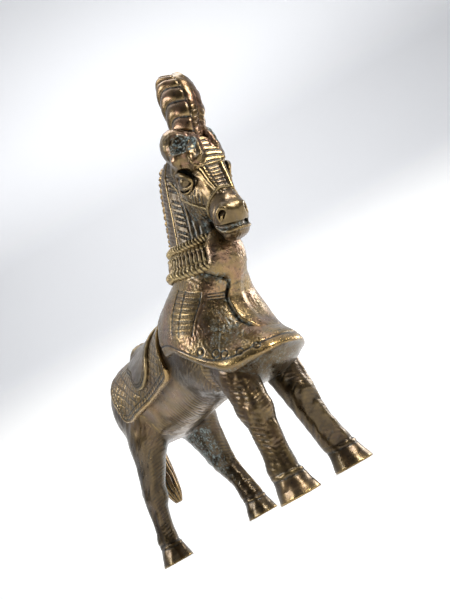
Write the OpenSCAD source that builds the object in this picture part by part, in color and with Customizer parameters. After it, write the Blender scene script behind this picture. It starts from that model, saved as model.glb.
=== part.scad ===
// Bronze horse statuette, standing, in chest cloth, collar, bridle and saddle.
// Separately cast pieces, pinned and brazed together. Nothing on it moves.
// The horse faces -Y, its left side is +X, and it stands on Z = 0. Millimetres.

/* [Stance] */
// Sideways distance of each front hoof from the middle
front_stance = 12.5; // [11:0.5:15]
// Sideways distance of each hind hoof from the middle
hind_stance = 16; // [14:0.5:18]
// Y of the front hooves
front_hoof_y = -34; // [-38:1:-32]
// Y of the right hind hoof, which is set back
right_hind_y = 57; // [52:1:60]
// Y of the left hind hoof, which steps forward
left_hind_y = 33; // [29:1:38]

/* [Head] */
// How far the head is turned towards the horse's right, in degrees
head_turn = 17; // [0:1:20]
// Height of the forelock crest above the brow
crest_h = 30; // [24:1:32]

/* [Cloths] */
// Thickness of the chest cloth where it hangs free at its lip
cape_wall = 3; // [2.4:0.2:4]
// Thickness of the saddle cloth
saddle_cloth_wall = 1.5; // [1:0.1:2]
// Height of the saddle cloth's lower edge
saddle_cloth_z = 57; // [54:1:66]

/* [Casting] */
// Wall of the hollow body
body_wall = 3.2; // [2.6:0.1:4]
// Diameter of the dowels in the neck, head and tail
dowel_d = 4; // [3:0.5:4.5]
// Diameter of the spigot on top of each leg
spigot_d = 6; // [5:0.5:6.5]

/* [Hidden] */

bronze = [0.48, 0.35, 0.19];
dark_bronze = [0.30, 0.22, 0.13];
gold_bronze = [0.66, 0.48, 0.22];
pin_bronze = [0.55, 0.50, 0.42];

far = 200;              // longer than the whole horse
seam = 0.05;            // half of the gap between the two halves of a casting
head_pivot_y = -57;     // the head turns about an upright line through here

// A station is [x, y, z, tilt, half width, half depth]: an ellipse across the path.
// Its width lies along X, and tilt turns its depth from +Y (0) up to +Z (90).
// Stations run the way that the ellipse faces: up at tilt 0, and forward at tilt 90.

// The body, from the rump forward to the chest
BODY = [
    [0, 64.5, 67, 90, 4, 5],
    [0, 61.5, 66.5, 90, 10.5, 12.5],
    [0, 54, 65.5, 90, 15.6, 18.2],
    [0, 43, 64.5, 90, 17.2, 20],
    [0, 28, 63, 90, 16.6, 19.4],
    [0, 10, 62.3, 90, 16.4, 19.4],
    [0, -8, 62.8, 90, 17, 20.2],
    [0, -22, 63.8, 90, 16.8, 20.6],
    [0, -31, 62.6, 90, 14.4, 18],
    [0, -36.8, 60.8, 90, 9.8, 12.6],
    [0, -39.4, 59.6, 90, 4.6, 6.2]
];

// The neck, from inside the chest up to the poll
NECK = [
    [0, -24, 66, 40, 13, 16.6],
    [0, -28, 76, 32, 11.2, 15],
    [0, -32.5, 85, 26, 9.5, 15.6],
    [0, -37, 94, 22, 8.6, 13.6],
    [0, -41, 102, 20, 8.2, 12.3],
    [0, -44.5, 110, 24, 7.7, 11],
    [0, -47.5, 116.5, 32, 7, 9],
    [0, -50, 120, 45, 5.4, 6.4]
];

// The head, from the poll down to the chin
HEAD = [
    [0, -51.4, 123, 162, 4.4, 5.5],
    [0, -54, 118.5, 162, 7.2, 9.4],
    [0, -56.2, 112, 162, 8.7, 10.8],
    [0, -57.6, 105, 162, 8.3, 10.8],
    [-0.4, -59.2, 97.5, 162, 6.4, 8.2],
    [-0.8, -60.4, 91, 162, 5.7, 6.6],
    [-1.2, -61.2, 86, 162, 6.2, 6.8],
    [-1.4, -61.3, 82, 162, 5.2, 5.8],
    [-1.4, -61.3, 79.6, 162, 2.8, 3.2]
];

// Chest cloth, from the lip up to the collar
CLOTH = [
    [0, -28, 40.6, 0, 18, 24.6],
    [0, -27.6, 43, 0, 18.8, 23.4],
    [0, -26.2, 46.6, 0, 19.4, 21.8],
    [0, -24.8, 51, 0, 19.8, 20.4],
    [0, -23.4, 57, 0, 20.2, 19],
    [0, -23, 64, 2, 19.6, 18.6],
    [0, -24.4, 70, 9, 17.4, 18.2],
    [0, -27.6, 75, 16, 14.6, 18.2],
    [0, -30.8, 79.4, 21, 12.2, 17.8],
    [0, -33, 83.2, 25, 10.8, 17.2]
];

// The tail, from its tip up to the dock
TAIL = [
    [0, 66.3, 22, 0, 1.6, 1.6],
    [0, 67, 27, 0, 3.6, 3.2],
    [0, 67.8, 38, 0, 4.8, 3.8],
    [0, 68.1, 52, 0, 4.6, 3.9],
    [0, 67.4, 64, 0, 4, 3.8],
    [0, 64.2, 74, 24, 3.8, 3.8],
    [0, 59.3, 79, 50, 3.2, 3.4]
];

function mix(a, b, t) = a + (b - a) * t;

// Catmull-Rom between four stations
function spline(p, q, r, s, t) =
    0.5 * (2 * q + (r - p) * t + (2 * p - 5 * q + 4 * r - s) * t * t
    + (3 * q - p - 3 * r + s) * t * t * t);

function at(list, i) = list[max(0, min(len(list) - 1, i))];

// A station or point part of the way down a list
function along(list, k) = let (i = min(floor(k), len(list) - 2))
    spline(at(list, i - 1), list[i], list[i + 1], at(list, i + 2), k - i);

function smooth(list, steps) = [
    for (k = [0 : (len(list) - 1) * steps]) along(list, k / steps)
];

function grown(list, d) = [for (s = list) [s[0], s[1], s[2], s[3], s[4] + d, s[5] + d]];

// A point on a station's ellipse, moved out from it by d
function rim(s, a, d = 0) = [
    s[0] + (s[4] + d) * cos(a),
    s[1] + (s[5] + d) * sin(a) * cos(s[3]),
    s[2] + (s[5] + d) * sin(a) * sin(s[3])
];

function ring(s, sides) = [for (i = [0 : sides - 1]) rim(s, 360 * i / sides)];

function wall(k, last, sides) = [
    for (i = [0 : sides - 1]) let (
        j = (i + 1) % sides,
        a = k * sides + i,
        b = ((k + 1) % last) * sides + i,
        c = ((k + 1) % last) * sides + j,
        d = k * sides + j
    ) each [[a, b, c], [a, c, d]]
];

// A closed solid through rings of points
module skin(rings) {
    sides = len(rings[0]);
    last = len(rings) - 1;
    polyhedron([for (r = rings) each r], concat(
        [for (k = [0 : last - 1]) each wall(k, last + 1, sides)],
        [[for (i = [0 : sides - 1]) i]],
        [[for (i = [sides - 1 : -1 : 0]) last * sides + i]]
    ));
}

// The same, with the last ring joined round to the first
module skin_loop(rings) {
    polyhedron([for (r = rings) each r],
        [for (k = [0 : len(rings) - 1]) each wall(k, len(rings), len(rings[0]))]);
}

module loft(list, sides = 16, steps = 2) {
    skin([for (s = smooth(list, steps)) ring(s, sides)]);
}

function unit(v) = v / norm(v);

// A ring of points round a path at p, which runs along dir with its out side towards out.
// The strands make it lobed, and spin turns the lobes.
function cord_ring(p, dir, out, r, sides, strands, spin) = let (
    n = unit(out - dir * (out * dir)),
    b = cross(dir, n)
) [
    for (i = [0 : sides - 1]) let (
        a = 360 * i / sides,
        q = r * (1 + (strands > 0 ? 0.2 * cos(strands * (a - spin)) : 0))
    ) p + q * (n * cos(a) + b * sin(a))
];

// A twisted cord laid round a station's ellipse
module cord_loop(s, r, twists, steps, out = 0, sides = 8) {
    skin_loop([
        for (i = [0 : steps - 1]) let (
            a = 360 * i / steps,
            p = rim(s, a, out),
            dir = unit(rim(s, a + 2, out) - rim(s, a - 2, out)),
            mid = [s[0], s[1], s[2]]
        ) cord_ring(p, dir, p - mid, r, sides, 2, 180 * twists * i / steps)
    ]);
}

// A twisted or plain cord along a list of points
module cord_line(points, r, twists, steps, out, sides = 8, strands = 2) {
    n = len(points) - 1;
    skin([
        for (i = [0 : steps]) let (
            k = n * i / steps,
            p = along(points, k),
            dir = unit(along(points, min(n, k + 0.05)) - along(points, max(0, k - 0.05))),
            q = r * min(1, 0.35 + 0.65 * sin(180 * i / steps) * 4)
        ) cord_ring(p, dir, out, q, sides, strands, 180 * twists * i / steps)
    ]);
}

module upright_pin(x, y, z, h, d) {
    translate([x, y, z]) cylinder(h = h, d = d, $fn = 32);
}

module right_half() {
    translate([-far - seam, -far, 0]) cube([far, 2 * far, far]);
}

module left_half() {
    translate([seam, -far, 0]) cube([far, 2 * far, far]);
}

module turned() {
    translate([0, head_pivot_y, 0]) rotate([0, 0, -head_turn])
        translate([0, -head_pivot_y, 0]) children();
}

// A side view outline, carried right across the horse
module across(outline, half = 40) {
    rotate([90, 0, 90]) translate([0, 0, -half]) linear_extrude(2 * half) polygon(outline);
}

/* Body */

module body_solid() {
    loft(BODY);
}

module body_hollow() {
    loft(grown([for (k = [1 : len(BODY) - 2]) BODY[k]], -body_wall));
}

module body() {
    difference() {
        body_solid();
        body_hollow();
        leg_spigots();
        neck_dowel_shape();
        tail_dowel_shape();
    }
}

module body_half_right() {
    color(bronze) intersection() {
        body();
        right_half();
    }
}

module body_half_left() {
    color(bronze) intersection() {
        body();
        left_half();
    }
}

/* Legs */

hoof_w = 6.3;           // half width of a hoof at the ground
hoof_l = 6.9;           // half length of a hoof at the ground
front_hip_z = 57;
hind_hip_z = 63;
spigot_h = 9;

// A front leg on the right side, from the sole up to the shoulder.
// The knee stands in towards the middle by knock.
function front_leg(knock) = [
    for (s = [
        [0, 0, -0.9, 0, hoof_w, hoof_l],
        [0, 0, -0.4, 3.8, 5.3, 5.8],
        [0.1, 0.1, 0, 6.4, 4.7, 5],
        [0.2, 0.3, 0.2, 9.5, 4.8, 5.1],
        [0.5, 0.7, 0, 15, 4.4, 4.7],
        [0.8, 1, -0.2, 22, 4.6, 5],
        [1.2, 1, -0.2, 28, 5.2, 5.7],
        [1.8, 0.9, 0.6, 36, 5.8, 6.8],
        [2.6, 0.6, 2, 44, 6.2, 7.6],
        [3.6, 0.2, 3.4, 51, 5.6, 7.2],
        [5, 0, 4, front_hip_z, 4.2, 5.6]
    ]) [s[0] + knock * s[1] - front_stance, s[2] + front_hoof_y, s[3], 0, s[4], s[5]]
];

RIGHT_FRONT_LEG = front_leg(0);
LEFT_FRONT_LEG = front_leg(3.4);

// A hind leg on the right side, from the sole up to the haunch.
// Its hoof is at y, its hip at hip_y, and its hock stands back by hock.
function hind_leg(y, hip_y, hock) = [
    for (s = [
        [0, 0, -0.9, 0, hoof_w, hoof_l],
        [0, 0, -0.4, 3.8, 5.2, 5.8],
        [0.1, 0, 0, 6.6, 4.2, 4.7],
        [0.2, 0, 0.4, 10, 4.2, 4.9],
        [0.5, 0.06, 0.4 * hock, 16, 3.8, 4.4],
        [1, 0.2, hock, 24, 4.4, 5.4],
        [1.5, 0.32, hock, 29.5, 5, 6.6],
        [2.6, 0.6, 0.4 * hock, 38, 6, 9],
        [4.2, 0.86, 0, 48, 7.4, 12],
        [5.6, 1, 0, 56, 7.6, 13],
        [7.4, 1, 0, hind_hip_z, 6, 10]
    ]) [s[0] - hind_stance, mix(y, hip_y, s[1]) + s[2], s[3], 0, s[4], s[5]]
];

hip_y = 43;
RIGHT_HIND_LEG = hind_leg(right_hind_y, hip_y, 1.5);
LEFT_HIND_LEG = hind_leg(left_hind_y, hip_y, 4);

front_spigot = [3.6 - front_stance, front_hoof_y + 4];
hind_spigot = [5 - hind_stance, hip_y];

module spigot(place, hip_z) {
    upright_pin(place[0], place[1], hip_z - 20, 20 + spigot_h - 4, spigot_d);
}

module leg_spigots() {
    for (m = [0, 1]) mirror([m, 0, 0]) {
        spigot(front_spigot, front_hip_z);
        spigot(hind_spigot, hind_hip_z);
    }
}

// A leg is coped to the body's skin, and its spigot goes through it
module leg(stations, place, hip_z) {
    color(bronze) union() {
        difference() {
            loft(stations, 14);
            body_solid();
        }
        spigot(place, hip_z);
    }
}

module leg_front_right() {
    leg(RIGHT_FRONT_LEG, front_spigot, front_hip_z);
}

module leg_front_left() {
    mirror([1, 0, 0]) leg(LEFT_FRONT_LEG, front_spigot, front_hip_z);
}

module leg_hind_right() {
    leg(RIGHT_HIND_LEG, hind_spigot, hind_hip_z);
}

module leg_hind_left() {
    mirror([1, 0, 0]) leg(LEFT_HIND_LEG, hind_spigot, hind_hip_z);
}

/* Neck, mane and collar */

module neck_solid() {
    loft(NECK);
}

neck_lean = 24;
neck_pin = [0, -33, 76];
neck_pin_h = 22;
head_pin = [0, -53, 112];
head_pin_h = 16;

module neck_dowel_shape() {
    translate(neck_pin) rotate([neck_lean, 0, 0]) cylinder(h = neck_pin_h, d = dowel_d, $fn = 32);
}

module head_dowel_shape() {
    turned() translate(head_pin) rotate([-90, 0, 0]) cylinder(h = head_pin_h, d = dowel_d, $fn = 32);
}

module neck_dowel() {
    color(pin_bronze) neck_dowel_shape();
}

module head_dowel() {
    color(pin_bronze) head_dowel_shape();
}

module neck() {
    color(bronze) difference() {
        neck_solid();
        body_solid();
        head_solid();
        neck_dowel_shape();
        head_dowel_shape();
        mane_shape();
        bridle_shape();
        upper_rope_shape();
        fringe_shape();
        lower_rope_shape();
    }
}

// The braid runs down the back edge of the neck, from the poll to the collar
mane_r = 2.4;
MANE = [for (k = [6.7, 6, 5.2, 4.4, 3.6, 3.05]) rim(along(NECK, k), 90, 0.3)];

module mane_shape() {
    cord_line(MANE, mane_r, 13, 56, [1, 0, 0], 10);
}

module mane_braid() {
    color(bronze) difference() {
        mane_shape();
        head_solid();
        bridle_shape();
        upper_rope_shape();
    }
}

// The collar's two ropes lie round these ellipses
LOW_ROPE = [0, -32.8, 83.4, 25, 11, 17];
HIGH_ROPE = [0, -36.4, 91.8, 23, 9.2, 14.6];
rope_r = 1.3;

module upper_rope_shape() {
    cord_loop(HIGH_ROPE, rope_r, 36, 72);
}

module lower_rope_shape() {
    cord_loop(LOW_ROPE, rope_r + 0.3, 36, 72);
}

module collar_upper_rope() {
    color(gold_bronze) upper_rope_shape();
}

module collar_lower_rope() {
    color(gold_bronze) lower_rope_shape();
}

// A band between the ropes, with short upright tassels side by side
tassels = 44;
module fringe_shape() {
    low = mix(LOW_ROPE, HIGH_ROPE, 0.22);
    high = mix(LOW_ROPE, HIGH_ROPE, 0.84);
    n = 2 * tassels;
    skin_loop([
        for (i = [0 : n - 1]) let (a = -360 * i / n, out = i % 2 == 0 ? 0.9 : 0.2)
            [rim(low, a, -2.4), rim(low, a, out), rim(high, a, out), rim(high, a, -2.4)]
    ]);
}

module collar_fringe() {
    color(bronze) fringe_shape();
}

/* Head */

eye_r = 2.3;

module head_solid() {
    turned() loft(HEAD);
}

module eyes() {
    turned() for (m = [-1, 1]) translate([m * 6.9, -59.2, 105.2]) sphere(r = eye_r, $fn = 32);
}

// Right strap, from the noseband up the cheek and over the poll
STRAP = [
    for (p = [[4.9, 188], [4.3, 196], [3.6, 206], [2.8, 214], [1.9, 216], [1, 222], [0.4, 232]])
        rim(along(HEAD, p[0]), p[1], 0.1),
    [0, -48.6, 125.2]
];
BRIDLE = concat(STRAP, [for (i = [len(STRAP) - 2 : -1 : 0]) [-STRAP[i][0], STRAP[i][1], STRAP[i][2]]]);

module bridle_shape() {
    turned() union() {
        cord_line(BRIDLE, 0.9, 0, 48, [0, -1, 0.2], 6, 0);
        cord_loop(along(HEAD, 4.9), 0.9, 0, 28, 0.1, 6);
    }
}

module bridle() {
    color(gold_bronze) bridle_shape();
}

module head() {
    color(bronze) difference() {
        union() {
            head_solid();
            eyes();
        }
        head_dowel_shape();
        bridle_shape();
        crest_shape();
        ear_shape(-1);
        ear_shape(1);
    }
}

// The forelock, gathered and standing up from the brow, as [height share, x, y, half width, half depth]
crest_z = 117;
CREST = [
    [0, 0.2, -60.6, 4.6, 5.6],
    [0.16, 0.8, -61.4, 5.2, 6.2],
    [0.36, 2, -62.4, 6.4, 7.8],
    [0.6, 2.6, -63.6, 6.8, 8.3],
    [0.8, 2.6, -64.2, 6.3, 7.8],
    [0.93, 2.6, -64.6, 4.6, 5.4],
    [1, 2.6, -64.8, 1.8, 2.1]
];
crest_ribs = 6;
crest_bow = 3;

// Its rings bow upwards to the front, and swell and sink to make the ribs on its sides
module crest_shape() {
    n = 30;
    skin([
        for (k = [0 : n]) let (
            s = along(CREST, (len(CREST) - 1) * k / n),
            h = crest_h * s[0],
            rib = 0.5 * sin(180 * crest_ribs * 2 * (k / n) - 90),
            bow = crest_bow * sin(180 * k / n)
        ) [
            for (i = [0 : 13]) let (a = 360 * i / 14, side = pow(abs(cos(a)), 0.6))
                [s[1] + (s[3] + rib * side) * cos(a), s[2] + (s[4] + 0.3 * rib * side) * sin(a),
                    crest_z + h + bow * (0.4 - pow(sin(a), 2)) * side]
        ]
    ]);
}

module forelock_crest() {
    color(gold_bronze) crest_shape();
}

// Cupped ear, open forwards and outwards
EAR = [
    [0, 0.5, -6.5, 0, 1.8, 2.6],
    [0, 0.3, -4, 0, 3.2, 5],
    [0, 0, 0, 0, 3.9, 6.6],
    [0, -0.3, 3.2, 0, 3.4, 5.8],
    [0, -0.4, 5.8, 0, 1.4, 2.6]
];

// side is -1 for the right ear and 1 for the left one
module ear_shape(side) {
    turned() translate([side * 7.2, -60, 118]) rotate([0, side * 10, 0]) loft(EAR, 12);
}

module ear_cup(side) {
    turned() translate([side * 10, -61, 117]) rotate([0, side * 10, 0]) loft([
        [0, 0.4, -5, 0, 0.8, 2],
        [0, 0.2, -3, 0, 2.4, 4],
        [0, 0, 0, 0, 2.8, 4.8],
        [0, -0.2, 3, 0, 1.4, 3]
    ], 12);
}

module ear(side) {
    color(bronze) difference() {
        ear_shape(side);
        ear_cup(side);
        crest_shape();
        bridle_shape();
    }
}

module ear_right() {
    ear(-1);
}

module ear_left() {
    ear(1);
}

/* Chest cloth */

// Its lower edge seen from the side: level in front, then up over the shoulder
cloth_rear_y = -10.5;
cloth_over_body = 2.4;
HEM = [
    [-60, 40.6], [-46, 40.6], [-41, 41.2], [-35, 44], [-29, 49], [-23, 55.5],
    [-17, 60.4], [cloth_rear_y, 62.6]
];

module hem_outline() {
    across(concat([for (p = smooth(HEM, 2)) p], [[cloth_rear_y + 3, 94], [-26, 100], [-60, 100]]));
}

// Up to 1.2 mm thicker, the same shape makes the breast panel
module cloth_outside(extra = 0) {
    intersection() {
        union() {
            loft(grown(CLOTH, extra), 24);
            loft(grown(BODY, cloth_over_body));
        }
        hem_outline();
    }
}

// The hollow behind the free lip
module lip_hollow() {
    loft(grown([
        [0, -27.8, 36, 0, 17, 22.4],
        [0, -27.5, 41.2, 0, 16.6, 21],
        [0, -25, 45, 0, 13, 15]
    ], -cape_wall));
}

// The swell of the chest under the free lip
module under_chest() {
    loft([
        [0, -36, 36.2, 0, 3, 2.6], [0, -36, 37.6, 0, 9.4, 8.2], [0, -36, 40, 0, 13.4, 11.8],
        [0, -35.6, 45, 0, 15.4, 13.4]
    ], 24);
}

// What the cloths lie on, and end against
module wearer() {
    body_solid();
    neck_solid();
    lower_rope_shape();
    loft(grown([for (k = [-0.14, 0.1, 0.5]) mix(LOW_ROPE, HIGH_ROPE, k)], -0.7));
    loft(RIGHT_FRONT_LEG, 14);
    mirror([1, 0, 0]) loft(LEFT_FRONT_LEG, 14);
}

// The breast panel's edge seen from the front: its free right edge from the top, its foot,
// and its left edge
PANEL = [
    [-10.6, 90], [-10, 81], [-8.6, 76.4], [-6.6, 73.2], [-4, 71.2], [-3.5, 69.6], [-4.8, 66.6],
    [-5.2, 62], [-5, 57], [-3.6, 53.6], [-0.6, 51.4], [4, 50.6], [9, 52], [13, 58], [13, 70], [11, 90]
];

module panel_outline() {
    translate([0, -33.5, 0]) rotate([90, 0, 0]) linear_extrude(50) polygon(PANEL);
}

module chest_cloth() {
    difference() {
        union() {
            difference() {
                cloth_outside();
                lip_hollow();
            }
            under_chest();
        }
        wearer();
        panel_outline();
    }
}

module chest_cloth_right() {
    color(bronze) intersection() {
        chest_cloth();
        right_half();
    }
}

module chest_cloth_left() {
    color(bronze) intersection() {
        chest_cloth();
        left_half();
    }
}

module breast_panel() {
    color(bronze) difference() {
        intersection() {
            loft(grown(CLOTH, 1.2), 24);
            panel_outline();
        }
        wearer();
    }
}

/* Saddle */

CLOTH_OUTLINE = [
    [-7.5, saddle_cloth_z + 6], [-4, saddle_cloth_z + 1], [2, saddle_cloth_z], [34, saddle_cloth_z],
    [40, saddle_cloth_z + 1], [44, saddle_cloth_z + 6], [45, 92], [-8.5, 92]
];

module saddle_cloth_shape() {
    intersection() {
        loft(grown(BODY, saddle_cloth_wall));
        across(CLOTH_OUTLINE);
    }
}

module saddle_cloth() {
    color(dark_bronze) difference() {
        saddle_cloth_shape();
        body_solid();
        cloth_outside();
    }
}

saddle_wall = 1.3;
FLAP_OUTLINE = [
    [4, 82], [5, 72], [8, 66], [13, 63.5], [18, 63.5], [22, 66], [25, 72], [31, 78], [31, 94], [4, 94]
];

// Seat, from the raised cantle forward to the pommel
SEAT = [
    [0, 33, 81, 90, 6.6, 3],
    [0, 31.5, 82.6, 90, 9.4, 5.8],
    [0, 28, 82.4, 90, 9, 4.6],
    [0, 20, 81.6, 90, 7.6, 3.4],
    [0, 12, 81.8, 90, 5.8, 4],
    [0, 7, 82.4, 90, 4.2, 5.4],
    [0, 4.6, 82, 90, 2.4, 3.4]
];

module saddle() {
    color(bronze) difference() {
        union() {
            intersection() {
                loft(grown(BODY, saddle_cloth_wall + saddle_wall));
                across(FLAP_OUTLINE);
            }
            loft(SEAT);
        }
        loft(grown(BODY, saddle_cloth_wall));
    }
}

/* Tail */

tail_pin = [0, 58, 71];
tail_pin_h = 10;

module tail_dowel_shape() {
    translate(tail_pin) rotate([-90, 0, 0]) cylinder(h = tail_pin_h, d = dowel_d - 1, $fn = 32);
}

module tail_dowel() {
    color(pin_bronze) tail_dowel_shape();
}

module tail() {
    color(bronze) difference() {
        loft(TAIL, 12);
        body_solid();
        tail_dowel_shape();
    }
}

body_half_right();
body_half_left();
neck();
neck_dowel();
head();
head_dowel();
forelock_crest();
ear_right();
ear_left();
mane_braid();
bridle();
collar_upper_rope();
collar_fringe();
collar_lower_rope();
chest_cloth_right();
chest_cloth_left();
breast_panel();
saddle_cloth();
saddle();
leg_front_right();
leg_front_left();
leg_hind_right();
leg_hind_left();
tail();
tail_dowel();
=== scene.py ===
import math
import bpy
import numpy as np
import openvdb as vdb
from mathutils import Matrix, Vector


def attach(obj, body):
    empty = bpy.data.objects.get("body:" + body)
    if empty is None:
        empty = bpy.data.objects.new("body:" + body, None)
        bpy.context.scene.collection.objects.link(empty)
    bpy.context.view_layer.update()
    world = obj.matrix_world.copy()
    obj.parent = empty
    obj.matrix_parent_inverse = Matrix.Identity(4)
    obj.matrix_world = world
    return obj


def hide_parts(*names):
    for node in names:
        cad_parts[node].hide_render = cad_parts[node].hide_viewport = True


# A cast bronze horse statuette. It faces -Y, its left side is +X, and it stands on Z = 0.
# Shapes are worked out in millimetres and written to Blender in metres.
# Most pieces are sculpted as signed distances on a lattice (negative inside), then meshed,
# and their chased lines are cut into the mesh.

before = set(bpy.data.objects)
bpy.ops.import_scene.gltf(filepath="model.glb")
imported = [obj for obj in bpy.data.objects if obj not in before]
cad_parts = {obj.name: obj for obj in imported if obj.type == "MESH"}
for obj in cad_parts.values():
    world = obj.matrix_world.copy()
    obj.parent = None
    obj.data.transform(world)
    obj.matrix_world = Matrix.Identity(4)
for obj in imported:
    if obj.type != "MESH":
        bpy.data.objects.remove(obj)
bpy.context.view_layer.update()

MM = 0.001
COARSE = 1.0
BAND = 12                               # cells each side of a surface that hold its distance
FAR = 6.0                               # how far from a small shape its distances are worked out
NOWHERE = 20.0                          # the distance given beyond that
JOIN = 0.45                             # overlap where one casting meets the next
LEG_BLEND, NECK_BLEND = 4, 5            # mm over which leg and neck run into the body,
HEAD_BLEND, EAR_BLEND = 2.6, 1.6        # the head into the neck, and the ears into the head
LEG_REACH, NECK_REACH = 3.2, 4          # how far past its own shape a casting takes the blend
HEAD_REACH, EAR_REACH = 3, 1.8
CLOTH_TOP = 84.5                        # where the chest cloth ends under the collar
HEAD_TURN = 17                          # degrees, towards the horse's right
HEAD_PIVOT_Y = -57

# ---------------------------------------------------------------- stations, as in the CAD

# [x, y, z, tilt, half width, half depth]: an ellipse across the path of each part
BODY = [
    [0, 64.5, 67, 90, 4, 5], [0, 61.5, 66.5, 90, 10.5, 12.5], [0, 54, 65.5, 90, 15.6, 18.2],
    [0, 43, 64.5, 90, 17.2, 20], [0, 28, 63, 90, 16.6, 19.4], [0, 10, 62.3, 90, 16.4, 19.4],
    [0, -8, 62.8, 90, 17, 20.2], [0, -22, 63.8, 90, 16.8, 20.6], [0, -31, 62.6, 90, 14.4, 18],
    [0, -36.8, 60.8, 90, 9.8, 12.6], [0, -39.4, 59.6, 90, 4.6, 6.2],
]
NECK = [
    [0, -24, 66, 40, 13, 16.6], [0, -28, 76, 32, 11.2, 15], [0, -32.5, 85, 26, 9.5, 15.6],
    [0, -37, 94, 22, 8.6, 13.6], [0, -41, 102, 20, 8.2, 12.3], [0, -44.5, 110, 24, 7.7, 11],
    [0, -47.5, 116.5, 32, 7, 9], [0, -50, 120, 45, 5.4, 6.4],
]
HEAD = [
    [0, -51.4, 123, 162, 4.4, 5.5], [0, -54, 118.5, 162, 7.2, 9.4], [0, -56.2, 112, 162, 8.7, 10.8],
    [0, -57.6, 105, 162, 8.3, 10.8], [-0.4, -59.2, 97.5, 162, 6.4, 8.2],
    [-0.8, -60.4, 91, 162, 5.7, 6.6], [-1.2, -61.2, 86, 162, 6.2, 6.8],
    [-1.4, -61.3, 82, 162, 5.2, 5.8], [-1.4, -61.3, 79.6, 162, 2.8, 3.2],
]
CLOTH = [
    [0, -28, 40.6, 0, 18, 24.6], [0, -27.6, 43, 0, 18.8, 23.4], [0, -26.2, 46.6, 0, 19.4, 21.8],
    [0, -24.8, 51, 0, 19.8, 20.4], [0, -23.4, 57, 0, 20.2, 19], [0, -23, 64, 2, 19.6, 18.6],
    [0, -24.4, 70, 9, 17.4, 18.2], [0, -27.6, 75, 16, 14.6, 18.2],
    [0, -30.8, 79.4, 21, 12.2, 17.8], [0, -33, 83.2, 25, 10.8, 17.2],
]
TAIL = [
    [0, 66.3, 22, 0, 1.6, 1.6], [0, 67, 27, 0, 3.6, 3.2], [0, 67.8, 38, 0, 4.8, 3.8],
    [0, 68.1, 52, 0, 4.6, 3.9], [0, 67.4, 64, 0, 4, 3.8], [0, 64.2, 74, 24, 3.8, 3.8],
    [0, 59.3, 79, 50, 3.2, 3.4],
]
SEAT = [
    [0, 33, 81, 90, 6.6, 3], [0, 31.5, 82.6, 90, 9.4, 5.8], [0, 28, 82.4, 90, 9, 4.6],
    [0, 20, 81.6, 90, 7.6, 3.4], [0, 12, 81.8, 90, 5.8, 4], [0, 7, 82.4, 90, 4.2, 5.4],
    [0, 4.6, 82, 90, 2.4, 3.4],
]
LIP_HOLLOW = [[0, -27.8, 36, 0, 14, 19.4], [0, -27.5, 41.2, 0, 13.6, 18], [0, -25, 44, 0, 10, 12]]
# [share of its height, x, y, half width, half depth]
CREST = [
    [0, 0.2, -60.6, 4.6, 5.6], [0.16, 0.8, -61.4, 5.2, 6.2], [0.36, 2, -62.4, 6.4, 7.8],
    [0.6, 2.6, -63.6, 6.8, 8.3], [0.8, 2.6, -64.2, 6.2, 7.7], [0.91, 2.6, -64.5, 4.9, 5.9],
    [0.975, 2.6, -64.8, 2.9, 3.4], [1, 2.6, -64.9, 0.3, 0.3],
]
LOW_ROPE = [0, -32.8, 83.4, 25, 11, 17]
HIGH_ROPE = [0, -36.4, 91.8, 23, 9.2, 14.6]
# Side view outlines, as [y, z]
HEM = [
    [-60, 40.6], [-46, 40.6], [-41, 41.2], [-35, 44], [-29, 49], [-23, 55.5], [-17, 60.4],
    [-10.5, 62.6],
]
SADDLE_CLOTH_OUTLINE = [
    [-7.5, 63], [-4, 58], [2, 57], [34, 57], [40, 58], [44, 63], [45, 92], [-8.5, 92],
]
FLAP_OUTLINE = [
    [4, 82], [5, 72], [8, 66], [13, 63.5], [18, 63.5], [22, 66], [25, 72], [31, 78], [31, 94], [4, 94],
]
# Front view outline of the breast panel, from the top of its free right edge, as [x, z]
PANEL = [
    [-10.6, 90], [-10, 81], [-8.6, 76.4], [-6.6, 73.2], [-4, 71.2], [-3.5, 69.6], [-4.8, 66.6],
    [-5.2, 62], [-5, 57], [-3.6, 53.6], [-0.6, 51.4], [4, 50.6], [9, 52], [13, 58], [13, 70], [11, 90],
]
FRONT_STANCE = 12.5
FRONT_HOOF_Y = -34
HIND_STANCE = 16
HIP_Y = 43


def front_leg(side, knock):
    """A front leg from the sole up. The knee stands in towards the middle by knock."""
    rows = [
        [0, 0, -0.9, 0, 6.3, 6.9], [0, 0, -0.4, 3.8, 5.3, 5.8], [0.1, 0.1, 0, 6.4, 4.7, 5],
        [0.2, 0.3, 0.2, 9.5, 4.8, 5.1], [0.5, 0.7, 0, 15, 4.4, 4.7], [0.8, 1, -0.2, 22, 4.6, 5],
        [1.2, 1, -0.2, 28, 5.2, 5.7], [1.8, 0.9, 0.6, 36, 5.8, 6.8], [2.6, 0.6, 2, 44, 6.2, 7.6],
        [3.6, 0.2, 3.4, 51, 5.6, 7.2], [5, 0, 4, 57, 4.2, 5.6],
    ]
    return [[side * (FRONT_STANCE - s[0] - knock * s[1]), s[2] + FRONT_HOOF_Y, s[3], 0, s[4], s[5]]
            for s in rows]


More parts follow.
